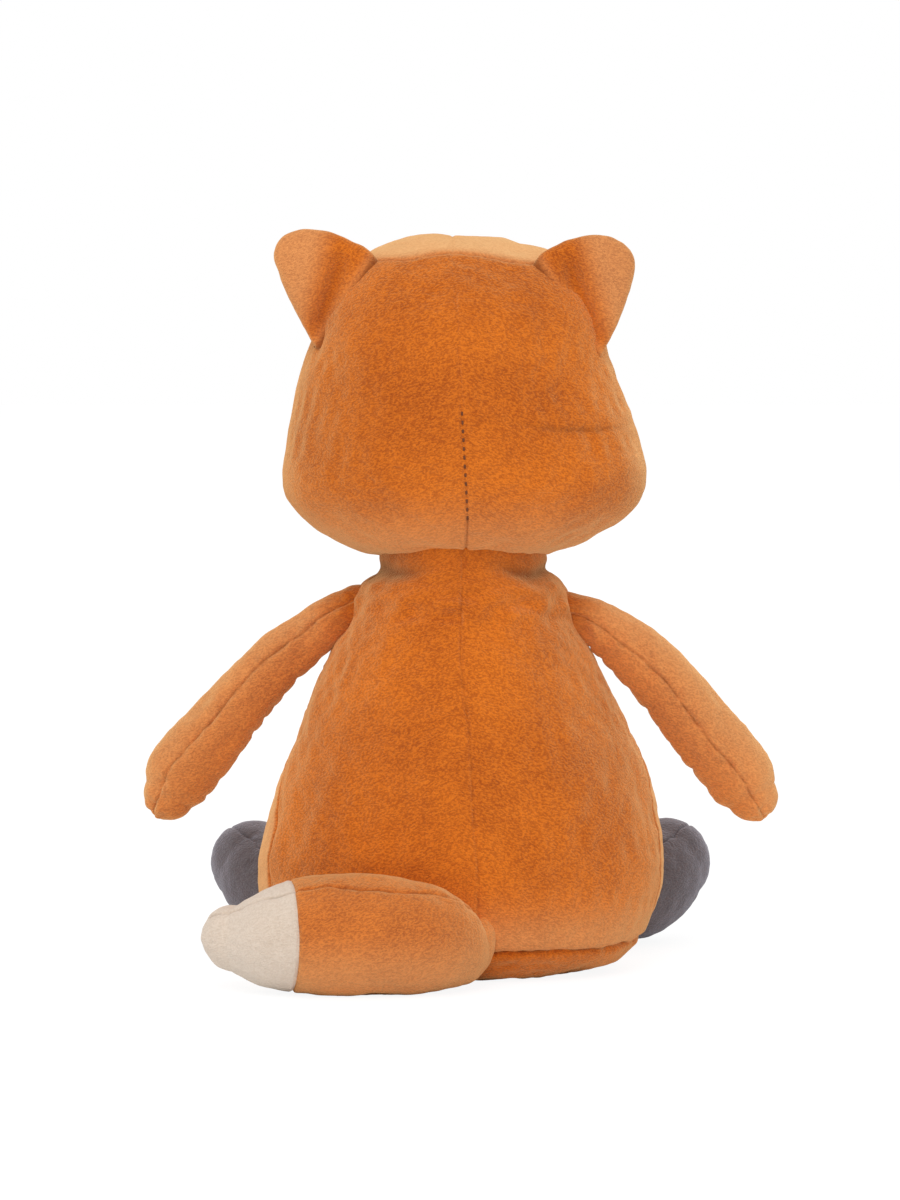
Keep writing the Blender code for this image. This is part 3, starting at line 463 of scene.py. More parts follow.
# %% [markdown]
# A skin becomes a mesh by joining the points at its poles and where it closes, and keeping the faces of
# one colour. Along a cut edge the cloth turns in by a millimetre, as a seam allowance does, so that
# neighbouring cuts never show a gap. The turned-in edge is painted in full shade, so they meet in a dark
# line.

# %% Meshes
hem_depth = 0.0011


def faces_of(skin, mask):
    """The quads and the pole triangles of a skin inside a mask, with their outsides outwards."""
    numbers = skin.numbers()
    corners = [numbers[:-1, :-1], numbers[1:, :-1], numbers[1:, 1:], numbers[:-1, 1:]]
    quads = np.stack(corners, axis=-1)[mask]
    start, end = quads[:, 0] == quads[:, 3], quads[:, 1] == quads[:, 2]
    triangles = np.concatenate([quads[start][:, :3], quads[end][:, [0, 1, 3]]])
    quads = quads[~start & ~end]
    points = skin.points.reshape(-1, 3)
    sample = quads[len(quads) // 2]
    one = points[sample]
    outwards = np.cross(one[2] - one[0], one[3] - one[1]) @ skin.normals.reshape(-1, 3)[sample[0]]
    if outwards < 0:
        quads, triangles = quads[:, ::-1], triangles[:, ::-1]
    return quads, triangles


def open_edges(quads, triangles):
    """The directed edges that only one face has."""
    pairs = [quads[:, [k, (k + 1) % 4]] for k in range(4)]
    pairs += [triangles[:, [k, (k + 1) % 3]] for k in range(3)]
    edges = np.concatenate(pairs)
    most = edges.max() + 1
    code, back = edges[:, 0] * most + edges[:, 1], edges[:, 1] * most + edges[:, 0]
    return edges[~np.isin(code, back)]


def cloth(name, skin, mask, material, hem=True):
    """A cut of cloth: the chosen faces of a skin, with its open edges turned in."""
    quads, triangles = faces_of(skin, mask)
    points, normals = skin.points.reshape(-1, 3), skin.normals.reshape(-1, 3)
    shade, nap_and_sheen = skin.shade.ravel(), skin.nap_and_sheen.ravel()
    edges = open_edges(quads, triangles)
    if hem and len(edges):
        inner, where = np.unique(edges, return_inverse=True)
        where = where.reshape(edges.shape) + len(points)
        points = np.concatenate([points, points[inner] - hem_depth * normals[inner]])
        # The turned-in edge is painted in full shade.
        shade = np.concatenate([shade, np.ones(len(inner))])
        nap_and_sheen = np.concatenate([nap_and_sheen, np.zeros(len(inner))])
        hems = np.stack([edges[:, 1], edges[:, 0], where[:, 0], where[:, 1]], axis=-1)
        quads = np.concatenate([quads, hems])
    used, packed = np.unique(np.concatenate([quads.ravel(), triangles.ravel()]), return_inverse=True)
    quads, triangles = packed[: quads.size].reshape(-1, 4), packed[quads.size :].reshape(-1, 3)
    marks = {"painted_shade": np.clip(shade[used], 0, 1), "nap_and_sheen": np.clip(nap_and_sheen[used], 0, 1)}
    return solid(name, points[used], quads.tolist() + triangles.tolist(), material, marks)


def solid(name, points, faces, material, marks=()):
    """A smooth object from points and faces, in the fox's own frame, with numbers marked on its points."""
    mesh = bpy.data.meshes.new(name)
    mesh.from_pydata(points.tolist(), [], faces)
    mesh.materials.append(material)
    mesh.shade_smooth()
    for mark, values in dict(marks).items():
        mesh.attributes.new(mark, "FLOAT", "POINT").data.foreach_set("value", values.astype(np.float32))
    made = bpy.data.objects.new(name, mesh)
    bpy.context.scene.collection.objects.link(made)
    triangle_count = sum(len(face) - 2 for face in faces)
    print(f"{name}: {triangle_count} triangles")
    return made


# %% [markdown]
# Stuffing pushes the cloth out between its seams. A coarse copy of the skin, a little smaller than the
# form, is blown up by Blender's cloth under pressure, with its seams held. How far each point moved is
# then carried over to the fine skin, so the fine one keeps its columns and rows. A toy that sits is
# flat where it rests, so what swells past the floor is pressed back to it.

# %% Stuffing under pressure
coarse_spacing = 0.0045
stuffing_pressure = 4.0
stuffing_frames = 20
cloth_quality = 6
cloth_mass = 0.02
cloth_stiffness = 2.0
bending_stiffness = 0.1
held_reach = 0.001


def blown_up(skin, held, cap):
    """How far each point of a coarse skin moves under pressure, at most the cap. held is a mask."""
    piece = cloth("stuffing_trial", skin, skin.area(), orange, hem=False)
    numbers = skin.numbers()
    order = np.unique(numbers, return_inverse=True)[1]
    order = order.reshape(numbers.shape)
    group = piece.vertex_groups.new(name="seams")
    group.add(np.unique(order[held]).tolist(), 1.0, "REPLACE")
    modifier = piece.modifiers.new("stuffing", "CLOTH")
    settings = modifier.settings
    settings.quality = cloth_quality
    settings.mass = cloth_mass
    settings.tension_stiffness = settings.compression_stiffness = cloth_stiffness
    settings.shear_stiffness = cloth_stiffness
    settings.bending_stiffness = bending_stiffness
    settings.use_pressure = True
    settings.uniform_pressure_force = stuffing_pressure
    settings.vertex_group_mass = "seams"
    settings.effector_weights.gravity = 0
    modifier.collision_settings.use_collision = False
    for number in range(1, stuffing_frames + 1):
        bpy.context.scene.frame_set(number)
    graph = bpy.context.evaluated_depsgraph_get()
    swollen = piece.evaluated_get(graph).to_mesh()
    places = np.empty(len(swollen.vertices) * 3)
    swollen.vertices.foreach_get("co", places)
    moved = places.reshape(-1, 3)[order] - skin.points
    piece.evaluated_get(graph).to_mesh_clear()
    bpy.data.objects.remove(piece)
    bpy.context.scene.frame_set(1)
    length = np.linalg.norm(moved, axis=-1, keepdims=True)
    mean, most = length.mean() * 1000, length.max() * 1000
    print(f"  stuffing moved the cloth by {mean:.2f} mm, at most {most:.2f} mm")
    return moved * np.minimum(1, cap / np.maximum(length, 1e-9))


def carried(values, coarse, fine):
    """Values on a coarse skin's grid, smoothly at each point of a fine one."""
    for rough, exact in ((coarse.rows, fine.rows), (coarse.columns, fine.columns)):
        share = np.interp(exact, rough, np.arange(len(rough))) / (len(rough) - 1)
        flat = through(values.reshape(len(rough), -1), share)
        values = np.moveaxis(flat.reshape(len(exact), *values.shape[1:]), 0, 1)
    return values


def stuff(skin, hold, tuck=0.0002, cap=0.0016):
    """Tucks a skin in a little and blows it up between what hold(skin) marks as held. No point
    moves further than the cap."""
    coarse = Skin(skin.surface, *skin.stops, coarse_spacing, crowding=0)
    held = hold(coarse)
    coarse.lift(np.full(coarse.points.shape[:2], -tuck))
    moved = blown_up(coarse, held, cap)
    skin.points = skin.points - tuck * skin.normals + carried(moved, coarse, skin)
    skin.measure()


def settle(skin):
    """Presses a skin flat where it rests on the floor, so no point is lower than z = 0."""
    skin.points[..., 2] = np.maximum(skin.points[..., 2], 0)


# %% [markdown]
# Two things happen at a seam. The cloth dives into it, which is a narrow groove with a slight roll on
# both sides, and it is drawn together by the thread, which puckers it. Between the seams the filling is
# a little lumpy and the pile stands in tufts.


# %% Seams and relief
seam_line = 0.00042
pucker_reach = 0.004
pole_fade = (0.004, 0.02)
depth_length, pucker_length, dark_length = 0.006, 0.0055, 0.0042
lump_lengths = (0.045, 0.016)
pile_lengths = (0.0034, 0.0075)


def seam(skin, distance, depth=0.0007, width=0.0007, pucker=0.12, dark=0.5, seed=1, where=1.0):
    """Heights of a seam: a groove and its puckers, from the distance to it. It fades out at the poles,
    where the rows are short, and it also paints shade along its line."""
    where = where * soft_step(skin.run_across[:, -1:], *pole_fade)
    groove = -depth * (1 + 0.2 * waves(skin.points, depth_length, seed)) * dip(distance, width)
    puckers = pucker * depth * waves(skin.points, pucker_length, seed + 1) * dip(distance, pucker_reach)
    uneven = np.clip(0.72 + 0.28 * waves(skin.points, dark_length, seed + 2), 0, 1)
    # Painted shade along the seam's line, where the groove would be dark.
    skin.shade = np.maximum(skin.shade, dark * uneven * dip(distance, seam_line) * where)
    return (groove + puckers) * where


def relief(points, lumps=0.00045, tufts=0.00005, seed=3):
    """Lumpy filling, shallow dents and tufts of pile: two long waves and two short ones."""
    broad, narrow = (waves(points, length, seed + k) for k, length in enumerate(lump_lengths))
    drawn_out = waves(points, pile_lengths[0], seed + 2, stretch=(1.6, 1.6, 1))
    even = waves(points, pile_lengths[1], seed + 3)
    return lumps * broad + 0.3 * lumps * narrow + tufts * drawn_out + tufts * even


# %% [markdown]
# The torso is a pear that sits on a flat base. Two back cuts meet in the middle seam, a side cut goes
# round under each arm, and the belly is one cream cut. The same cuts run on into a short collar that
# goes up under the head. A lathe could turn a pear, but the real one leans, and its back seam wanders
# and runs down to one side. So the skin is a formula: an ellipse at each height, turned a little.

# %% Torso
torso_height = 0.1415
torso_half_width = 0.0715
torso_half_depth = 0.059
torso_lean = [(0.0,), (0.0008,), (0.0016,), (0.0016,), (0.0,), (0.0006,), (0.0012,)]
lean_top = 1.1
side_drift = (math.radians(9), math.radians(20))
drift_heights = (0.35, 0.62)
belly_bow = 0.003
seam_twist = math.radians(5.5)
seam_sway, sway_pace, sway_reach = 0.0004, 17, 0.3
side_seam = math.radians(66)
belly_seam = math.radians(142)
torso_rows = [
    (0.000, 0.000, 0.000),
    (0.000, 0.330, 0.330),
    (0.000, 0.640, 0.640),
    (0.020, 0.780, 0.775),
    (0.076, 0.905, 0.905),
    (0.154, 0.972, 0.970),
    (0.251, 1.000, 1.000),
    (0.362, 0.968, 0.985),
    (0.473, 0.905, 0.940),
    (0.589, 0.810, 0.860),
    (0.695, 0.720, 0.775),
    (0.791, 0.632, 0.690),
    (0.873, 0.545, 0.620),
    (0.940, 0.515, 0.585),
    (0.990, 0.437, 0.545),
    (1.030, 0.412, 0.520),
    (1.070, 0.405, 0.505),
    (1.100, 0.330, 0.420),
    (1.110, 0.160, 0.200),
    (1.110, 0.000, 0.000),
]
base_seam_row, neck_row, collar_row, last_torso_row = 4, 14, 16, 19
torso_spacing = 0.00125

# %% [markdown]
# Two functions make the form. The first is the plain pear, which the roots of the limbs are found on.
# The second is the cloth over it, with what the photograph shows: the lean, the turned and swaying back
# seam, and side seams that drift forward higher up.


# %% The torso's skin
def torso_place(turned, row):
    """A point of the pear: an ellipse at each height. turned is the angle from straight back towards
    +X, and the row counts up the table."""
    height, width, depth = np.moveaxis(through(torso_rows, row / last_torso_row), -1, 0)
    height = np.maximum(height, 0)
    bow = belly_bow * np.sin(math.pi * np.clip(height, 0, 1))
    x = torso_half_width * width * np.sin(turned)
    y = torso_half_depth * depth * np.cos(turned) - bow
    return np.stack([x, y, torso_height * height + 0 * x], axis=-1)


def torso_surface(angle, row):
    """The pear with the back seam at angle 0. The seam is turned by up to seam_twist towards the base
    and sways as a sine, the side seams drift forward higher up, and the middle leans to one side."""
    height = np.maximum(through(torso_rows, row / last_torso_row)[..., 0], 0)
    past = (angle + math.pi) % (2 * math.pi) - math.pi
    drift = side_drift[0] + side_drift[1] * soft_step(height, *drift_heights)
    drift = drift * np.sin(math.pi * np.clip(past / belly_seam, -1, 1))
    points = torso_place(angle + drift - seam_twist * (1 - height), row)
    points[..., 0] -= through(torso_lean, height / lean_top)[..., 0]
    points[..., 0] += seam_sway * np.sin(sway_pace * height) * dip(past, sway_reach)
    return points


quarters = [0, side_seam, belly_seam, 2 * math.pi - belly_seam, 2 * math.pi - side_seam, 2 * math.pi]
torso_stops = [0, base_seam_row, neck_row, collar_row, last_torso_row]
torso = Skin(torso_surface, quarters, torso_stops, torso_spacing)


def torso_held(skin):
    """Where the torso's cloth is held: the back seam, the base seam and all that is near the collar."""
    at_seam = np.minimum(skin.from_row(1), skin.from_column(0)) < held_reach
    return at_seam | (skin.rows[:, None] > neck_row - 1)


stuff(torso, torso_held)
print("torso skin:", torso.points.shape[:2])

# %% [markdown]
# Five seams run up the torso: the one down the back, the two side seams and the two beside the belly.
# The seam round the base is the deepest, because the filling bulges over it. In the photograph the
# collar is one smooth run of cloth in the middle of the back and folds in at both sides. Below the fold
# the shoulders are dented, and slack cloth on the back shows fine wrinkles that run across it.

# %% Seams and folds of the torso
seam_depths = {0: (0.0005, 0.30), 1: (0.0007, 0.3), 2: (0.0007, 0.5), 3: (0.0007, 0.5), 4: (0.0007, 0.3)}
base_seam_depth, base_seam_width, base_seam_dark = 0.0013, 0.0010, 0.8
wall_rows = (base_seam_row - 0.05, base_seam_row + 0.2)
resting_heights = (0.0005, 0.006)
fold_height, fold_droop, fold_wander = 0.1418, 0.003, 0.0010
fold_depth, fold_width, fold_sides = 0.0017, 0.0022, (0.12, 0.5)
dent_depth, dent_height, dent_reach = 0.0005, 0.129, 0.008
wrinkle_depth, wrinkle_length = 0.00012, 0.0050
slack_middle, slack_half = (0.022, 0.100), (0.022, 0.026)
slack_collar, slack_collar_half = 0.134, 0.008

on_wall = soft_step(torso.rows, *wall_rows)[:, None]
height = relief(torso.points) * soft_step(torso.points[..., 2], *resting_heights)
for stop, (depth, dark) in seam_depths.items():
    height = height + seam(torso, torso.from_column(stop), depth, dark=dark, seed=10 + stop, where=on_wall)
height += seam(torso, torso.from_row(1), base_seam_depth, base_seam_width, dark=base_seam_dark, seed=20)
beside = np.abs(np.sin(torso.columns))[None, :]
up = torso.points[..., 2]
fold_line = fold_height - fold_droop * beside + fold_wander * waves(torso.points, 0.03, 22)
fold = dip(up - fold_line, fold_width) * soft_step(beside, *fold_sides)
dents = waves(torso.points, 0.012, 24, stretch=(1, 1, 0.5)) * dip(up - dent_height, dent_reach)
slack = dip(torso.points[..., 0] - slack_middle[0], slack_half[0]) * dip(up - slack_middle[1], slack_half[1])
slack = slack + dip(up - slack_collar, slack_collar_half)
wrinkles = waves(torso.points, wrinkle_length, 26, stretch=(6, 6, 1)) * slack
height += wrinkle_depth * wrinkles - fold_depth * fold - dent_depth * dents
torso.lift(height)
settle(torso)
print(f"seams and folds move the torso's cloth by up to {np.abs(height).max() * 1000:.1f} mm")

# %% [markdown]
# Shade is painted into the fold and under the head, where the head shades it. Low on the side cuts the
# pile is painted pale, partly for its lay and partly as sheen, and round the rim over the base as painted
# sheen, as the photograph shows. Both are attributes that the shader reads.

# %% Painted shade, nap and painted sheen, and cuts of the torso
fold_shade, head_shade, head_shade_beside = 0.62, 0.14, 0.36
shaded_heights = (0.128, 0.140)
side_cut_edge = (0.545, 0.56)
side_nap_and_sheen, side_pale_heights = 0.62, (0.05, 0.12)
rim_sheen, rim_height, rim_reach = 0.36, 0.014, 0.011

# Painted shade in the fold and under the head.
under_head = soft_step(up, *shaded_heights) * (head_shade + head_shade_beside * beside**2)
torso.shade = np.maximum(torso.shade, fold_shade * fold + under_head)
# Painted pale: nap and sheen low on the side cuts, sheen round the rim over the base.
side_cuts = soft_step(np.abs(np.sin(torso.columns / 2)), *side_cut_edge)[None, :]
low_rim = dip(up - rim_height, rim_reach) * on_wall
torso.nap_and_sheen = side_nap_and_sheen * side_cuts * (1 - soft_step(up, *side_pale_heights)) + rim_sheen * low_rim

belly = torso.area((2, 3), (1, 2))
torso_cloth = cloth("torso_cloth", torso, ~belly, orange)
belly_cloth = cloth("belly_cloth", torso, belly, cream)
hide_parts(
    *("torso_back_left_panel", "torso_back_right_panel", "torso_side_left_panel", "torso_side_right_panel"),
    *("base_panel", "torso_stuffing", "pellet_bag", "neck_band", "neck_stuffing"),
)
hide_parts("belly_panel")
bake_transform(torso_cloth)
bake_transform(belly_cloth)

# %% [markdown]
# The head is broad and low, with full cheeks, and a short snout grows out of the face. Seen from behind
# it is two back cuts with a seam down the middle, and a crown that shows above them. In front the crown
# comes down to the eyes, and cream cheeks run forward under it to the nose. The skin is a superellipse
# from front to back inside the outline seen from behind, plus a bell for the snout.

# %% Head
head_bottom = torso_height + 0.0035
head_height = 0.1123
head_half_width = 0.0633
head_back_depth = 0.048
head_front_depth = 0.041
head_forward = 0.003
head_shift, shift_heights = -0.0016, (-0.034, -0.018)
face_rise = 0.035
snout_length = 0.0235
snout_spread = 0.0165
snout_bluntness = 2.7
head_fullness = 0.85
back_drift, drift_middle, drift_half, drift_reach = 0.0036, 0.185, 0.065, 0.019
drift_depths = (-0.024, -0.004)
right_bulge, bulge_height, bulge_reach = 0.0028, 0.210, 0.016
right_hollow, hollow_height, hollow_reach = 0.0012, 0.172, 0.011
left_bulge, left_bulge_height = 0.0014, 0.214
askew_sides, askew_depths = (0.1, 0.75), (-0.03, -0.008)
crown_sag, sag_sides, sag_heights = 0.0018, (0.1, 0.55), (0.22, 0.25)
nape_drop, nape_reach, nape_heights = 0.0030, 0.034, (0.008, 0.028)
nape_middle, nape_half_depth = 0.027, 0.014
head_outline = [
    (0.00, 0.000),
    (0.25, 0.000),
    (0.44, 0.000),
    (0.585, 0.022),
    (0.80, 0.082),
    (0.925, 0.135),
    (0.99, 0.195),
    (1.00, 0.270),
    (0.98, 0.340),
    (0.955, 0.420),
    (0.895, 0.540),
    (0.825, 0.655),
    (0.755, 0.785),
    (0.65, 0.876),
    (0.50, 0.948),
    (0.30, 0.982),
    (0.15, 0.997),
    (0.00, 1.000),
]
back_seam_shares = [(0.530,), (0.530,), (0.530,), (0.520,), (0.502,), (0.482,), (0.455,), (0.360,), (0.362,)]
cheek_seam_shares = [(0.43,), (0.49,), (0.58,), (0.62,), (0.57,)]
cheek_start = cheek_seam_shares[0][0]
eye_round, eye_depth = 0.69, 0.845
snout_crowding = 1.25
head_spacing = 0.0011

# %% [markdown]
# The form of the head is one function. The cloth on it is another, which lays a line of the grid along
# each seam: grooves follow it, and the cream cheeks are parted there with a clean edge.


# %% The head's skin
def back_seam(around):
    """How far forward the back cuts reach, as a share from back to front."""
    return through(back_seam_shares, np.abs(around))[..., 0]


def head_surface(around, share):
    """around runs from under the chin, 0, to the crown, 1 by +X and -1 by -X, and share from the back
    to the tip of the snout. A point is the outline seen from behind, drawn in by sin(pi share)^0.85 and
    moved back by cos(pi share)^0.85, and the snout is a bell round the middle of the face. Bells and
    soft steps then set it a little askew, as the photographed head is."""
    width, height = np.moveaxis(through(head_outline, np.abs(around)), -1, 0)
    polar = math.pi * np.clip(share, 0, 1)
    spread = np.sin(polar) ** head_fullness
    reach = np.sign(np.cos(polar)) * np.abs(np.cos(polar)) ** head_fullness
    side = head_half_width * width * np.sign(around + 1e-12)
    rise = head_height * height - face_rise
    snout_bell = np.exp(-((spread * np.hypot(side, rise) / snout_spread) ** snout_bluntness))
    snout = snout_length * snout_bell * (reach < 0)
    depth = np.where(reach > 0, head_back_depth, head_front_depth)
    x = side * spread + head_shift * soft_step(spread * rise, *shift_heights)
    y = depth * reach - head_forward - snout
    up = head_bottom + face_rise + spread * rise
    to_right = soft_step(-x / head_half_width, *askew_sides) * soft_step(y, *askew_depths)
    to_left = soft_step(x / head_half_width, *askew_sides) * soft_step(y, *askew_depths)
    hollow = right_hollow * dip(up - hollow_height, hollow_reach)
    x = x + to_right * (right_bulge * dip(up - bulge_height, bulge_reach) - hollow)
    x = x + to_left * left_bulge * dip(up - left_bulge_height, bulge_reach)
    x = x + back_drift * (up - drift_middle) / drift_half * dip(x, drift_reach) * soft_step(y, *drift_depths)
    up = up - crown_sag * soft_step(-x / head_half_width, *sag_sides) * soft_step(up, *sag_heights)
    at_nape = soft_step(-rise * spread, *nape_heights)
    up = up - nape_drop * dip(x, nape_reach) * dip(y - nape_middle, nape_half_depth) * at_nape
    return np.stack([x, y, up], axis=-1)


def head_cloth_surface(turn, row):
    """The head with a line of its grid along each seam. Rows 0 to 1 are the back cuts and 1 to 2 the
    front ones. turn runs from -1 to 1, and the cheek seam follows turn = cheek_start."""
    size = np.abs(turn)
    progress = 1 - np.clip(2 - row, 0, 1) ** snout_crowding
    seam_turn = through(cheek_seam_shares, progress)[..., 0]
    crown = 1 - (1 - seam_turn) * (1 - size) / (1 - cheek_start)
    around = np.where(size > cheek_start, crown, seam_turn * size / cheek_start)
    around = np.where(row > 1, around, size)
    begin = back_seam(around)
    share = np.where(row > 1, begin + progress * (1 - begin), row * begin)
    return head_surface(around * np.where(turn < 0, -1, 1), share)


head = Skin(head_cloth_surface, [-1, -cheek_start, 0, cheek_start, 1], [0, 1, 2], head_spacing)


def head_held(skin):
    """Where the head's cloth is held: its seams."""
    to_middle = np.minimum(skin.from_column(0), skin.from_column(2))
    return (skin.from_row(1) < held_reach) | (to_middle < held_reach) & (skin.points[..., 1] > 0)


stuff(head, head_held)
print("head skin:", head.points.shape[:2])

# %% [markdown]
# The seams of the head are fine, and dark shade is painted only along the back seam's stretch closed by hand.
# On its right side the photograph shows a short crease across the cloth, with wrinkles above and below
# it. The cloth stays calm on the snout and close to the crown seam, where it is pulled tight.

# %% Seams and creases of the head
middle_seam_depth, middle_seam_dark, closed_seam_dark = 0.0004, 0.12, 0.75
crown_seam_depth, crown_seam_width, crown_seam_dark = 0.0006, 0.0008, 0.16
cheek_seam_dark = 0.55
closed_from, closed_to = (0.1435, 0.146), (0.158, 0.164)
calm_snout, calm_crown, calm_reach = 0.022, 0.8, 0.009
eye_dent_depth, eye_dent_reach = 0.0010, 0.0065
crease_side, crease_height, crease_slope, crease_curve = -0.041, 0.1905, 0.05, 4.0
crease_depth, crease_width, crease_reach = 0.0010, 0.0009, 0.017
creased_height, creased_half_height, creased_reach = 0.193, 0.009, 0.030
creased_side, creased_depth, creased_length = -0.004, 0.00016, 0.0055

in_front = soft_step(head.rows, 0.98, 1.04)[:, None]
snout_tip = head_surface(np.array(0.5), np.array(1.0))
calm = 1 - dip(np.linalg.norm(head.points - snout_tip, axis=-1), calm_snout)
calm = calm * (1 - calm_crown * dip(head.from_row(1), calm_reach))
height = relief(head.points, seed=40) * calm
to_middle = np.minimum(head.from_column(0), head.from_column(2))
to_cheek = np.minimum(head.from_column(1), head.from_column(3))
up = head.points[..., 2]
closed = soft_step(up, *closed_from) * (1 - soft_step(up, *closed_to)) * (1 - in_front)
height += seam(head, to_middle, middle_seam_depth, dark=middle_seam_dark, seed=50)
height += seam(head, to_middle, middle_seam_depth, dark=closed_seam_dark, seed=51, where=closed)
height += seam(
    head, head.from_row(1), crown_seam_depth, crown_seam_width, pucker=0.05, dark=crown_seam_dark, seed=52
)
height += seam(head, to_cheek, dark=cheek_seam_dark, seed=54, where=in_front)
for sign in (1, -1):
    eye_seat = head_surface(np.array(eye_round * sign), np.array(eye_depth))
    height -= eye_dent_depth * dip(np.linalg.norm(head.points - eye_seat, axis=-1), eye_dent_reach)
beside = head.points[..., 0] - crease_side
crease = dip(up - crease_height - crease_slope * beside - crease_curve * beside**2, crease_width)
crease = crease * dip(beside, crease_reach)
near_crease = dip(up - creased_height, creased_half_height) * dip(beside - creased_side, creased_reach)
near_crease = near_crease * (1 - in_front)
wrinkles = waves(head.points, creased_length, 56, stretch=(7, 7, 1))
height -= crease_depth * crease * (1 - in_front) + creased_depth * near_crease * wrinkles
head.lift(height)
print(f"seams and creases move the head's cloth by up to {np.abs(height).max() * 1000:.1f} mm")

# %% [markdown]
# The crown is brushed upwards, so from behind it is the palest orange of all: that is painted, as the lay
# of the pile and as sheen. A rim of painted sheen runs along the lower edge of the head and its sides.
# Shade is painted into the crease, and a soft patch on the head's left is painted darker.

# %% Painted shade, nap and painted sheen, and cuts of the head
crown_nap_and_sheen, crown_pale_depths, crown_pale_heights = 0.92, (-0.034, -0.006), (0.21, 0.24)
nape_sheen, nape_height, nape_rim = 0.30, 0.150, 0.012
side_rim_sheen, side_rim_at, side_rim = 0.5, 0.064, 0.005
crease_shade = 0.45
patch_darkness, down_side, down_side_half, down_height, down_height_half = 0.13, 0.043, 0.017, 0.188, 0.036

# Painted pale: nap and sheen on the crown, and sheen along the lower edge and the sides.
on_crown = in_front * soft_step(np.abs(head.columns), cheek_start, cheek_start + 0.01)[None, :]
near_top = 0.35 + 0.65 * soft_step(up, *crown_pale_heights)
on_crown *= 0.12 + 0.88 * soft_step(head.points[..., 1], *crown_pale_depths) * near_top
low_rim = dip(up - nape_height, nape_rim)
low_rim = low_rim + side_rim_sheen * dip(np.abs(head.points[..., 0]) - side_rim_at, side_rim)
head.nap_and_sheen = crown_nap_and_sheen * on_crown + nape_sheen * low_rim * (1 - on_crown)
# Painted shade in the crease, and a soft patch on the left painted darker.
darker_patch = dip(head.points[..., 0] - down_side, down_side_half) * dip(up - down_height, down_height_half)
darker = (crease_shade * crease + patch_darkness * darker_patch) * (1 - in_front)
head.shade = np.maximum(head.shade, darker)

cheeks = head.area((1, 3), (1, 2))
head_cloth = cloth("head_cloth", head, ~cheeks, orange)
cheek_cloth = cloth("cheek_cloth", head, cheeks, cream)
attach(head_cloth, "head")
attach(cheek_cloth, "head")
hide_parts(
    *("head_back_left_panel", "head_back_right_panel"),
    *("crown_left_panel", "crown_right_panel", "head_stuffing"),
)
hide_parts("cheek_left_panel", "cheek_right_panel")

# %% [markdown]
# The photograph shows only the back, so the face is a plain fox face of this script's own: two domed
# bead eyes on shanks, a nose in satin stitch and a mouth of three long stitches. The beads press the
# cloth in a little. Behind, the head was closed by hand with a ladder stitch, whose short threads show
# as dark dots down the lower half of the middle seam. A thread is a tube along a path that lies on the
# cloth, thin at both ends, and each group of threads is one mesh.

# %% Beads, threads and washers
eye_radius, eye_dome, eye_seat_height = 0.0055, 0.0038, 0.0007
shank_radius, shank_length = 0.0016, 0.0072
nose_half = np.array([0.0085, 0.0060, 0.0062])
nose_drop, nose_flare = 0.0005, 0.25
satin_pitch, satin_height = 0.0010, 0.00016

bead, graph, shader, place = new_material("black_bead")
smudge = graph.noise(place, 260.0, 3.0).between(0.35, 0.7)
wire(shader, Base_Color=smudge.colour((0.006, 0.005, 0.005), (0.014, 0.012, 0.012)))
wire(shader, Roughness=0.07 + 0.09 * smudge, Coat_Weight=0.5, Coat_Roughness=0.04)

black_thread, graph, shader, place = new_material("black_satin_thread")
along = graph.node("ShaderNodeMapping", (), {"Vector": place, "Scale": (1, 1, 0.12)})
fibres = graph.noise(along, 5200.0, 2.0)
wire(shader, Base_Color=fibres.colour((0.010, 0.008, 0.009), (0.060, 0.052, 0.054)))
wire(shader, Roughness=0.32 + 0.3 * fibres)
wire(shader, Normal=graph.node("ShaderNodeBump", (), {"Strength": 0.5, "Distance": 0.0001, "Height": fibres}))

brown_thread, graph, shader, place = new_material("closing_thread")
fibres = graph.noise(place, 4200.0, 2.0)
wire(shader, Base_Color=fibres.colour((0.085, 0.022, 0.005), (0.230, 0.062, 0.014)))
wire(shader, Roughness=0.6 + 0.3 * fibres)

nylon, graph, shader, place = new_material("washer_nylon")
cloudy = graph.noise(place, 420.0, 3.0)
wire(shader, Base_Color=cloudy.colour((0.66, 0.66, 0.63), (0.80, 0.80, 0.78)))
wire(shader, Roughness=0.32 + 0.2 * cloudy)
for side in ("left", "right"):
    bpy.data.objects[f"{side}_eye_washer"].material_slots[0].material = nylon
print("finishes ready:", ", ".join(finish.name for finish in (bead, black_thread, brown_thread, nylon)))

# %% [markdown]
# A bead eye is turned: a dome, a flat back and a thin shank that runs through the cloth to its washer.
# It is a profile carried round the direction that points out of the head. The nose is an egg, wider at
# its top, and the satin stitches are ridges a millimetre apart that run up and down it.


# %% Bead eyes and nose
bead_stops = [0, 0.5, 0.56, 0.62, 0.85, 1]
bead_spacing, nose_spacing = 0.0004, 0.00026
bead_back = 0.0006


def on_head(around, share):
    """A point of the head and the direction out of it: the cross product of two short steps on it."""
    here = head_surface(np.array(around), np.array(share))
    one = head_surface(np.array(around + 1e-4), np.array(share)) - here
    other = head_surface(np.array(around), np.array(share + 1e-4)) - here
    out = unit(np.cross(one, other))
    return here, out * np.sign(out @ (here - np.array([0, -head_forward, head_bottom + face_rise])))


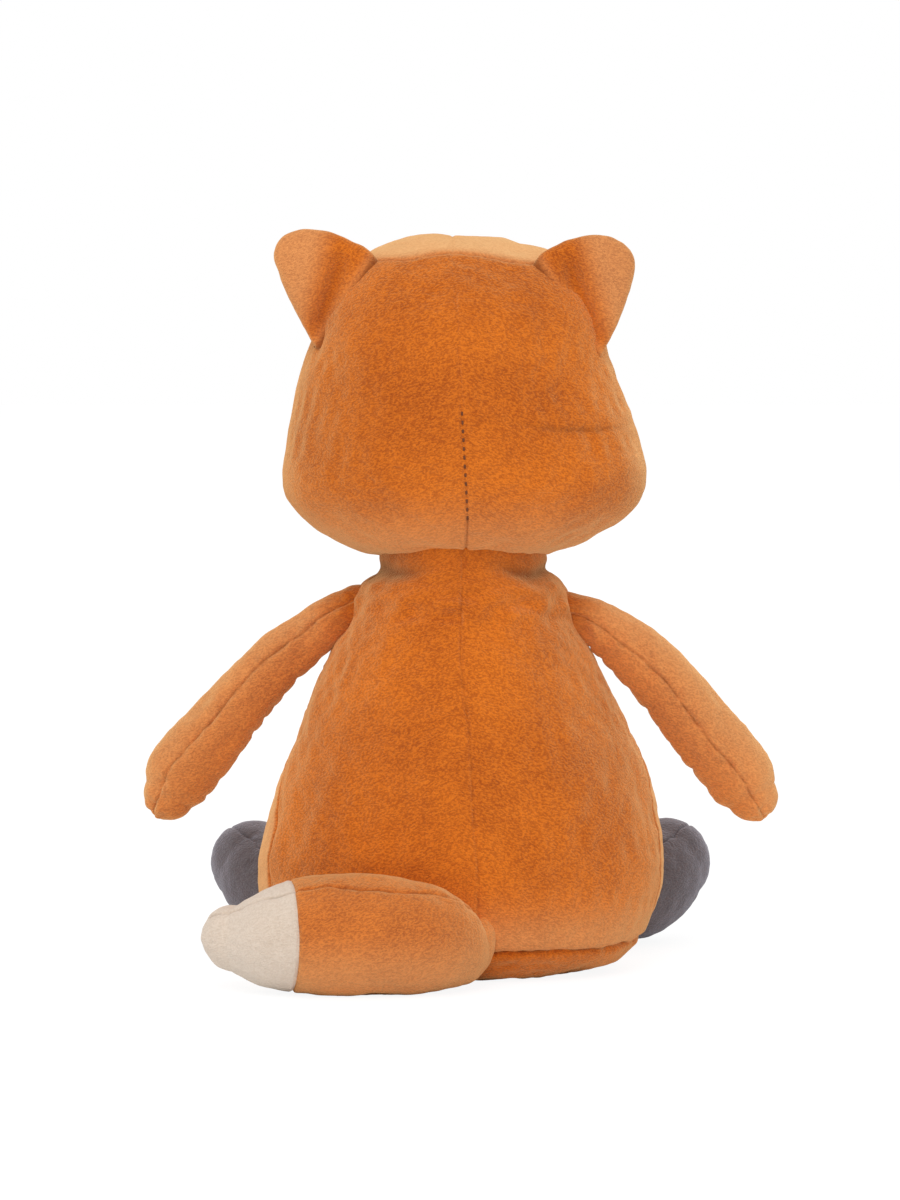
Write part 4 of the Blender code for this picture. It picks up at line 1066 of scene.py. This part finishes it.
def bead_surface(place, out):
    """A dome radius cos t, height sin t, then its flat back, and the shank down from it."""
    across = unit(np.cross(out, np.array([0.0, 0.0, 1.0])))
    over = np.cross(out, across)

    def surface(turn, row):
        """A point of the bead."""
        rim = bead_stops[1]
        rise = math.pi / 2 * (1 - np.minimum(row, rim) / rim)
        radii = [eye_radius, eye_radius * 0.9, shank_radius, shank_radius, 0]
        radius = np.where(row < rim, eye_radius * np.cos(rise), np.interp(row, bead_stops[1:], radii))
        height = eye_seat_height + np.where(row < rim, eye_dome * np.sin(rise), 0)
        height = height - np.interp(row, bead_stops[1:5], [0, bead_back, bead_back, shank_length])
        ring = np.cos(2 * math.pi * turn)[..., None] * across + np.sin(2 * math.pi * turn)[..., None] * over
        return place + radius[..., None] * ring + height[..., None] * out

    return surface


for side, sign in (("left", 1), ("right", -1)):
    place, out = on_head(eye_round * sign, eye_depth)
    skin = Skin(bead_surface(place, out), [0, 1], bead_stops, bead_spacing, crowding=0)
    piece = cloth(f"{side}_bead_eye", skin, skin.area(), bead, hem=False)
    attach(piece, "head")
    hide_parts(f"{side}_eye")


def nose_surface(turn, row):
    """An ellipsoid, wider towards its top by 1 + flare * height."""
    angle, polar = 2 * math.pi * turn, math.pi * row
    ball = np.stack([np.sin(polar) * np.sin(angle), np.sin(polar) * np.cos(angle), -np.cos(polar)], axis=-1)
    ball[..., 0] *= 1 + nose_flare * ball[..., 2]
    return snout_tip - (0, 0, nose_drop) + ball * nose_half


skin = Skin(nose_surface, [0, 1], [0, 1], nose_spacing, crowding=0)
skin.lift(satin_height * np.sqrt(np.abs(np.sin(math.pi * skin.points[..., 0] / satin_pitch))))
nose = cloth("satin_nose", skin, skin.area(), black_thread, hem=False)
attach(nose, "head")
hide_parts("nose")

# %% [markdown]
# A stitch is a thread that lies on the cloth, so its path is a few points of the head with the direction
# out of the cloth at each. The mouth is one stitch down from the nose and two that rise from its end.
# The ladder stitch is a row of short ones along the back seam.


# %% Mouth and closing stitches
mouth_top, mouth_middle, mouth_half_width, mouth_rise = 0.0052, 0.0104, 0.0058, 0.0016
mouth_thread, closing_thread, thread_spacing = 0.00055, 0.00038, 0.0003
stitch_pitch, stitch_length, stitch_lift = 0.0030, 0.0014, 0.00008
closing_low, closing_high = 0.1605, 0.1965


def thread_surface(path, outwards, radius):
    """A tube round a path on the cloth, whose radius is radius * sqrt(1 - (2 row - 1)^6)."""

    def surface(turn, row):
        """A point of the thread."""
        along = unit(through(path, row + 0.02) - through(path, row - 0.02))
        out = unit(through(outwards, row))
        side = unit(np.cross(along, out))
        size = radius * np.sqrt(np.clip(1 - (2 * row - 1) ** 6, 0, 1))[..., None]
        angle = 2 * math.pi * turn[..., None]
        return through(path, row) + size * (np.cos(angle) * out + np.sin(angle) * side)

    return surface


def threads(name, paths, radius, spacing, material):
    """One mesh of several threads. Each path is its points and the directions out of the cloth there."""
    points, faces = [], []
    for path, outwards in paths:
        skin = Skin(thread_surface(path, outwards, radius), [0, 1], [0, 1], spacing, crowding=0)
        for group in faces_of(skin, skin.area()):
            faces += (group + sum(len(part) for part in points)).tolist()
        points.append(skin.points.reshape(-1, 3))
    joined = np.concatenate(points)
    used, packed = np.unique(np.concatenate([np.array(face) for face in faces]), return_inverse=True)
    ends = np.cumsum([len(face) for face in faces])[:-1]
    piece = solid(name, joined[used], [part.tolist() for part in np.split(packed, ends)], material)
    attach(piece, "head")
    return piece


def on_snout(beside, drop):
    """A point of the snout so far beside and below its tip, and the direction out of it. The outline
    seen from behind starts straight, so a step to the side is a share of its first two stretches."""
    around = beside / drop * face_rise / head_half_width / head_outline[2][0] * 2 / (len(head_outline) - 1)
    polar = math.asin((drop / face_rise) ** (1 / head_fullness))
    return on_head(around, 1 - polar / math.pi)


mouth = [[on_snout(0.0, drop) for drop in np.linspace(mouth_top, mouth_middle, 5)]]
for sign in (1, -1):
    shares = np.linspace(0.0, 1.0, 5)
    mouth.append([on_snout(sign * x * mouth_half_width, mouth_middle - mouth_rise * x**2) for x in shares])
mouth = [tuple(np.array(part) for part in zip(*stitch)) for stitch in mouth]
threads("mouth_stitches", mouth, mouth_thread, thread_spacing, black_thread)


def down_back(values):
    """The values down the back seam: the two columns of the grid that meet at the head's back pole."""
    first, second = values[: head.row_at[1], 0], values[1 : head.row_at[1], head.column_at[2]]
    return np.concatenate([first[::-1], second])


line, out = down_back(head.points), down_back(head.normals)
order = np.argsort(line[:, 2])
line, out = line[order], out[order]
closing = []
for middle in np.arange(closing_low, closing_high, stitch_pitch):
    levels = middle + stitch_length * np.array([-0.5, -0.2, 0.2, 0.5])
    path, outwards = (
        np.stack([np.interp(levels, line[:, 2], rows[:, k]) for k in range(3)], axis=-1)
        for rows in (line, out)
    )
    closing.append((path + stitch_lift * outwards, outwards))
threads("closing_stitches", closing, closing_thread, thread_spacing, brown_thread)
print(len(closing), "closing stitches")

# %% [markdown]
# The ears are thin pads, orange behind and cream in front, sewn into the seam between the back cuts and
# the crown. Each lens shape is its outline drawn towards the middle, lifted by the padding. Behind,
# near the head, a soft dent runs along the ear where it folds.

# %% Ears
ear_half_pad = 0.0046
ear_outline = [
    (-1.00, 0.00),
    (-0.86, 0.16),
    (-0.64, 0.40),
    (-0.34, 0.67),
    (0.04, 0.95),
    (0.38, 0.99),
    (0.72, 0.88),
    (0.95, 0.67),
    (1.08, 0.40),
    (1.10, 0.05),
    (0.72, -0.30),
    (0.00, -0.40),
    (-0.72, -0.30),
]
ear_middle = np.array([0.06, 0.38])
ear_fullness, pad_roundness = 0.75, 0.8
ear_rim_row = 0.58
ear_spacing = 0.00062
valley_depth, valley_in_front, valley_width = 0.0034, 0.6, 0.12
valley_start, valley_slope, valley_inner, valley_outer = 0.19, 0.15, (-0.95, -0.5), (0.5, 1.0)
ear_sizes = {"left": (1, (0.820, 0.650), 0.0312), "right": (-1, (0.842, 0.638), 0.0294)}


def ear_frame(sign, inner_round, outer_round):
    """The middle of an ear's base, the direction along the base, out from it, backwards, and half the
    length of the base."""
    share = back_seam(np.array(inner_round))
    inner = head_surface(np.array(inner_round * sign), share)
    outer = head_surface(np.array(outer_round * sign), share)
    along = unit(inner - outer)
    back = unit(np.array([0.0, 1.0, 0.0]) - along[1] * along)
    return (inner + outer) / 2, along, np.cross(back, along) * sign, back, np.linalg.norm(inner - outer) / 2


def ear_place(turn, row):
    """Where on the flat ear a point is: along its base, and out from it, as shares."""
    edge = through(ear_outline + ear_outline[:1], turn % 1.0)
    across = np.clip(np.sin(math.pi * row), 0, 1) ** ear_fullness
    place = ear_middle + across[..., None] * (edge - ear_middle)
    return place[..., 0], place[..., 1]


def creased(beside, outwards):
    """The soft valley along the ear near its root, 1 at its bottom."""
    line = valley_start + valley_slope * beside
    ends = soft_step(beside, *valley_inner) * (1 - soft_step(beside, *valley_outer))
    return dip(outwards - line, valley_width) * ends


def ear_surface(sign, rounds, height):
    """The surface of an ear: its outline drawn towards its middle by sin(pi row)^0.75, and lifted by
    cos(pi row)^0.8. The row runs from the middle of its back, 0, over the rim to its front, 1."""

    def surface(turn, row):
        """A point of the ear."""
        base, along, out, back, half_base = ear_frame(sign, *rounds)
        beside, outwards = ear_place(turn, row)
        swing = np.cos(math.pi * row)
        lift = ear_half_pad * np.sign(swing) * np.abs(swing) ** pad_roundness
        lift = lift - valley_depth * creased(beside, outwards) * np.where(swing > 0, 1.0, valley_in_front)
        return (
            base
            + (beside * half_base)[..., None] * along
            + (outwards * height)[..., None] * out
            + lift[..., None] * back
        )

    return surface


# %% [markdown]
# Each ear is one skin, parted at its rim into a back and a front.

# %% Cloth of the ears
for side, (sign, rounds, ear_height) in ear_sizes.items():
    ear = Skin(ear_surface(sign, rounds, ear_height), [0, 0.5, 1], [0, ear_rim_row, 1], ear_spacing)
    height = relief(ear.points, lumps=0.0002, seed=60 + sign)
    height += seam(ear, ear.from_row(1), 0.0005, 0.0006, seed=70 + sign)
    ear.lift(height)
    beside, outwards = ear_place(*np.meshgrid(ear.columns, ear.rows))
    # Painted pale on the ear's outer part and near its root, as sheen and the lay of the pile; painted shade
    # at the root, where the ear meets the head, and in its valley.
    ear.nap_and_sheen = 0.42 * soft_step(outwards - 0.2 * beside, 0.22, 0.60) + 0.2 * dip(outwards - 0.04, 0.07)
    at_root = 1 - soft_step(outwards, -0.02, 0.07)
    ear.shade = np.maximum(ear.shade, 0.20 * creased(beside, outwards) + 0.7 * at_root)
    ear_back = cloth(f"{side}_ear_back_cloth", ear, ear.area(rows=(0, 1)), orange)
    ear_front = cloth(f"{side}_ear_front_cloth", ear, ear.area(rows=(1, 2)), cream)
    base, _, out, _, _ = ear_frame(sign, *rounds)
    for piece in (ear_back, ear_front):
        tuple(base - 0.002 * out)
        tuple(base + 0.007 * out)
        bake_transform(piece)
    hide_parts(f"{side}_ear_back_panel", f"{side}_ear_wadding")
    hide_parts(f"{side}_ear_front_panel")

# %% [markdown]
# Arms, legs and tail are stuffed tubes. Each has a curved middle line in one plane, a radius along it
# and round ends. The seams run along both sides, and the roll says which side faces the camera: on the
# arms one seam runs down the middle of the back.

# %% Limbs
cap_share = 0.12
seam_wander = 0.028
root_depth = 0.003
bend_before, bend_after = 0.004, 0.012
side_seams = [0.25, 0.75, 1.25]


class Limb:
    """A stuffed limb along a curve in one plane, with an ellipse round each point of it. The rows of
    its table are how far it reaches, how far it rises and its radius, as shares of its sizes. Step is
    the stretch of the curve over which its direction is taken: a long one keeps a tight bend smooth."""

    def __init__(self, pivot, forward, up, rows, sizes, flatness=1.0, roll=0.0, step=0.01):
        self.pivot, self.forward, self.up = (np.array(vector, float) for vector in (pivot, forward, up))
        self.side = np.cross(self.forward, self.up)
        self.rows, self.sizes = rows, np.array(sizes)
        self.flatness, self.roll, self.step = flatness, roll, step

    def centreline(self, share):
        """Points of the middle line and the radius there."""
        rows = through(self.rows, share) * self.sizes
        return self.pivot + rows[..., :1] * self.forward + rows[..., 1:2] * self.up, rows[..., 2]

    def surface(self, turn, share):
        """The skin: a ring of the radius round the middle line, and half a ball at each end. turn is
        in turns from the top."""
        middle = np.clip((share - cap_share) / (1 - 2 * cap_share), 0, 1)
        centre, radius = self.centreline(middle)
        along = unit(self.centreline(middle + self.step)[0] - self.centreline(middle - self.step)[0])
        up = unit(np.cross(self.side, along))
        bend = math.pi / 2 * np.clip(np.minimum(share, 1 - share) / cap_share, 0, 1)
        end = np.sign(share - 0.5) * np.cos(bend)
        wander = seam_wander * (np.sin(23 * share + 9 * self.roll) + 0.6 * np.sin(61 * share))
        angle = 2 * math.pi * turn + self.roll + wander
        ring = up * np.cos(angle)[..., None] + self.side * (self.flatness * np.sin(angle))[..., None]
        return centre + radius[..., None] * (along * end[..., None] + ring * np.sin(bend)[..., None])


def root_place(angle, row):
    """A limb's pivot: a point of the torso, moved inwards by the depth of a root."""
    step = 1e-4
    point = torso_place(np.array(angle), np.array(row))
    across = torso_place(np.array(angle + step), np.array(row)) - point
    up = torso_place(np.array(angle), np.array(row + step)) - point
    normal = unit(np.cross(across, up))
    return point - root_depth * normal * np.sign(normal @ (point - np.array([0, 0, torso_height / 2])))


# %% [markdown]
# The arms hang out to the sides. Their inner seams are eased, which scallops the edge, and the tips are
# round and well filled.

# %% Arms
def scallops(skin, turn, pitch, depth, seed):
    """Notches across a seam that is eased in, about a pitch apart: depth * bell(cos(pi run / pitch)),
    along the line at a turn round the limb, and away from its ends."""
    run = skin.run_down.mean(axis=1)[:, None]
    phase = math.pi * run / pitch + 1.1 * np.cos(run / 0.0075 + seed)
    beside = (skin.columns - turn + 0.5) % 1.0 - 0.5
    inside = soft_step(skin.rows, 0.16, 0.26) * (1 - soft_step(skin.rows, 0.72, 0.84))
    depth = depth * (0.65 + 0.35 * np.sin(run / 0.0047 + 2 * seed))
    return depth * dip(np.cos(phase), 0.5) * dip(beside, 0.11)[None, :] * inside[:, None]


def arm_held(skin):
    """Where an arm's cloth is held: its two seams."""
    return np.minimum(skin.from_column(0), skin.from_column(1)) < held_reach


arm_rows = [
    (0.00, 0.000, 0.66),
    (0.14, -0.070, 0.62),
    (0.28, -0.175, 0.69),
    (0.42, -0.285, 0.78),
    (0.56, -0.425, 0.85),
    (0.715, -0.615, 0.92),
    (0.872, -0.80, 1.02),
    (0.965, -0.925, 1.01),
    (1.01, -1.000, 0.78),
]
arm_radius = 0.0123
arm_flatness = 0.86
scallop_pitch, scallop_depth = 0.0078, 0.0009
arm_cap = 0.0012
# Each arm: its side, reach, drop, hump, lift at the root, extra fullness in the middle, and roll.
arm_sizes = {
    "left": (1, 0.0658, 0.064, 0.026, 0.036, 0.0, math.radians(22)),
    "right": (-1, 0.0665, 0.0645, 0.048, 0.008, 0.12, math.radians(2)),
}
arm_spacing = 0.0009
shoulder_row = 0.868 * neck_row
for side, (sign, reach, drop, hump, root_lift, fuller, roll) in arm_sizes.items():
    pivot = root_place(sign * math.pi / 2, shoulder_row)
    rows = np.array(arm_rows)
    away = np.clip(rows[:, 0], 0, 1)
    rows[:, 1] += hump * 27 / 4 * away * (1 - away) ** 2 + root_lift * (1 - soft_step(away, 0, 0.3))
    rows[:, 2] += fuller * dip(away - 0.46, 0.2)
    arm = Limb(pivot, (sign, 0, 0), (0, 0, 1), rows, (reach, drop, arm_radius), arm_flatness, roll * sign)
    skin = Skin(arm.surface, side_seams, [0, 1], arm_spacing)
    stuff(skin, arm_held, cap=arm_cap)
    print(side, "arm pivot", np.round(pivot, 5))
    height = relief(skin.points, lumps=0.0004, seed=80 + sign)
    for stop in (0, 1):
        beside = skin.from_column(stop)
        height += seam(skin, beside, 0.0009, pucker=0.55, dark=0.5, seed=90 + sign + 10 * stop)
        height += 0.00022 * waves(skin.points, 0.0075, 93 + stop) * dip(beside, 0.007)
    height -= scallops(skin, 0.5 - arm.roll / (2 * math.pi), scallop_pitch, scallop_depth, seed=96 + sign)
    skin.lift(height)
    # Painted pale, most on the top of the arm where the light falls, as sheen and the lay of the pile;
    # painted shade at the root, against the torso.
    on_top = 0.5 + 0.5 * np.cos(2 * math.pi * skin.columns)[None, :]
    out_from_root = soft_step(skin.rows, 0.13, 0.27)[:, None]
    skin.nap_and_sheen += (0.14 + 0.36 * on_top) * out_from_root
    skin.shade = np.maximum(skin.shade, 0.30 * (1 - out_from_root))
    piece = cloth(f"{side}_arm_cloth", skin, skin.area(), orange, hem=False)
    direction = unit(arm.centreline(np.array(0.3))[0] - pivot)
    start, end = pivot - bend_before * direction, pivot + bend_after * direction
    tuple(start)
    tuple(end)
    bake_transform(piece)
    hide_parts(*(f"{side}_arm_{part}" for part in ("upper_panel", "lower_panel", "stuffing")))

# %% [markdown]
# The legs come out in front of the fox. Each is a short orange sleeve that ends in a grey foot of two
# cuts, with a seam over the instep.

# %% Legs and feet
leg_rows = [
    (0.00, 0.00, 0.86),
    (0.18, -0.08, 0.87),
    (0.36, -0.16, 0.98),
    (0.54, -0.10, 1.08),
    (0.70, 0.14, 1.11),
    (0.83, 0.46, 1.08),
    (0.92, 0.72, 1.00),
]
leg_flatness = 0.97
leg_sizes = {"left": (0.0505, 0.0108, 0.0162), "right": (0.0528, 0.0110, 0.0163)}
leg_cap = 0.0010
leg_splay = math.radians(41.5)
leg_spacing = 0.0010
hip_row = 0.336 * neck_row
ankle_share = 0.35
instep_turn, instep_step = 0.6, 0.05
for side, sign in (("left", 1), ("right", -1)):
    pivot = root_place(sign * (math.pi - leg_splay), hip_row)
    forward = (sign * math.sin(leg_splay), -math.cos(leg_splay), 0)
    roll = math.pi / 2 - sign * instep_turn
    leg = Limb(pivot, forward, (0, 0, 1), leg_rows, leg_sizes[side], leg_flatness, roll, step=instep_step)
    skin = Skin(leg.surface, side_seams, [0, ankle_share, 1], leg_spacing)
    print(side, "leg pivot", np.round(pivot, 5))
    stuff(skin, lambda trial: trial.from_row(1) < held_reach, cap=leg_cap)
    height = relief(skin.points, lumps=0.0003, seed=100 + sign)
    on_foot = soft_step(skin.rows, ankle_share, ankle_share + 0.02)[:, None]
    for stop in (0, 1):
        beside = skin.from_column(stop)
        height += seam(skin, beside, 0.0005, dark=0.5, seed=110 + sign + 10 * stop, where=on_foot)
    height += seam(skin, skin.from_row(1), 0.0008, seed=130 + sign)
    skin.lift(height)
    sleeve = cloth(f"{side}_leg_cloth", skin, skin.area(rows=(0, 1)), orange)
    foot = cloth(f"{side}_foot_cloth", skin, skin.area(rows=(1, 2)), grey)
    start, end = pivot - bend_before * leg.forward, pivot + bend_after * leg.forward
    for piece in (sleeve, foot):
        tuple(start)
        tuple(end)
        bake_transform(piece)
    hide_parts(f"{side}_leg_sleeve", f"{side}_leg_stuffing")
    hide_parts(f"{side}_foot_outer_panel", f"{side}_foot_inner_panel")

# %% [markdown]
# The tail starts low in the middle of the back and lies round the fox's left side on the floor. Its tip
# is cream. The seam on top is puckered near the root.

# %% Tail
tail_rows = [
    (0.00, 0.00, 0.62),
    (0.08, 0.42, 0.82),
    (0.21, 0.82, 0.95),
    (0.38, 1.00, 1.02),
    (0.56, 1.00, 1.02),
    (0.72, 0.90, 0.97),
    (0.87, 0.72, 0.84),
    (1.00, 0.55, 0.58),
]
tail_sizes, tail_roll = (0.0765, 0.0175, 0.0206), math.radians(-35)
tail_spacing = 0.0010
tail_root_row = 0.351 * neck_row
tip_share = 0.683
tip_bulge = 0.060
tip_lifted = 0.78
tail_cap = 0.0012
pivot = root_place(0.0, tail_root_row)
tail = Limb(pivot, (1, 0, 0), (0, 1, 0), tail_rows, tail_sizes, roll=tail_roll)
print("tail pivot", np.round(pivot, 5))


def tail_surface(turn, share):
    """The tail, with the line of its tip drawn towards the root on the side that faces the camera."""
    facing = np.cos(2 * math.pi * turn + tail.roll)
    points = tail.surface(turn, share - tip_bulge * facing * dip(share - tip_share, 0.12))
    centre, radius = tail.centreline(np.clip((share - cap_share) / (1 - 2 * cap_share), 0, 1))
    above_floor = np.maximum(centre[..., 2] - radius, 0) * soft_step(share, 0.0, 0.15)
    points[..., 2] -= above_floor * (1 - tip_lifted * soft_step(share, 0.55, 1.0))
    return points


skin = Skin(tail_surface, side_seams, [0, tip_share, 1], tail_spacing)
stuff(skin, lambda trial: np.minimum(trial.from_column(0), trial.from_row(1)) < held_reach, cap=tail_cap)
height = relief(skin.points, lumps=0.0004, seed=140)
near_root = 1 - soft_step(skin.rows, 0.2, 0.6)[:, None]
for stop in (0, 1):
    height += seam(skin, skin.from_column(stop), 0.0007, pucker=0.25, dark=0.45, seed=150 + stop)
    height += 0.0003 * waves(skin.points, 0.008, 155 + stop) * dip(skin.from_column(stop), 0.006) * near_root
height += seam(skin, skin.from_row(1), 0.0006, dark=0.16, seed=160)
skin.lift(height)
settle(skin)
# Painted pale, most low down near the floor, as sheen and light from the floor.
skin.nap_and_sheen += 0.12 + 0.30 * (1 - soft_step(skin.points[..., 2], 0.006, 0.026))
tail_cloth = cloth("tail_cloth", skin, skin.area(rows=(0, 1)), orange)
tip_cloth = cloth("tail_tip_cloth", skin, skin.area(rows=(1, 2)), cream)
for piece in (tail_cloth, tip_cloth):
    tuple(pivot - (0, 0.003, 0))
    tuple(pivot + (0, 0.009, 0))
    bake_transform(piece)
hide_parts("tail_outer_panel", "tail_inner_panel", "tail_stuffing")
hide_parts("tail_tip_outer_panel", "tail_tip_inner_panel")
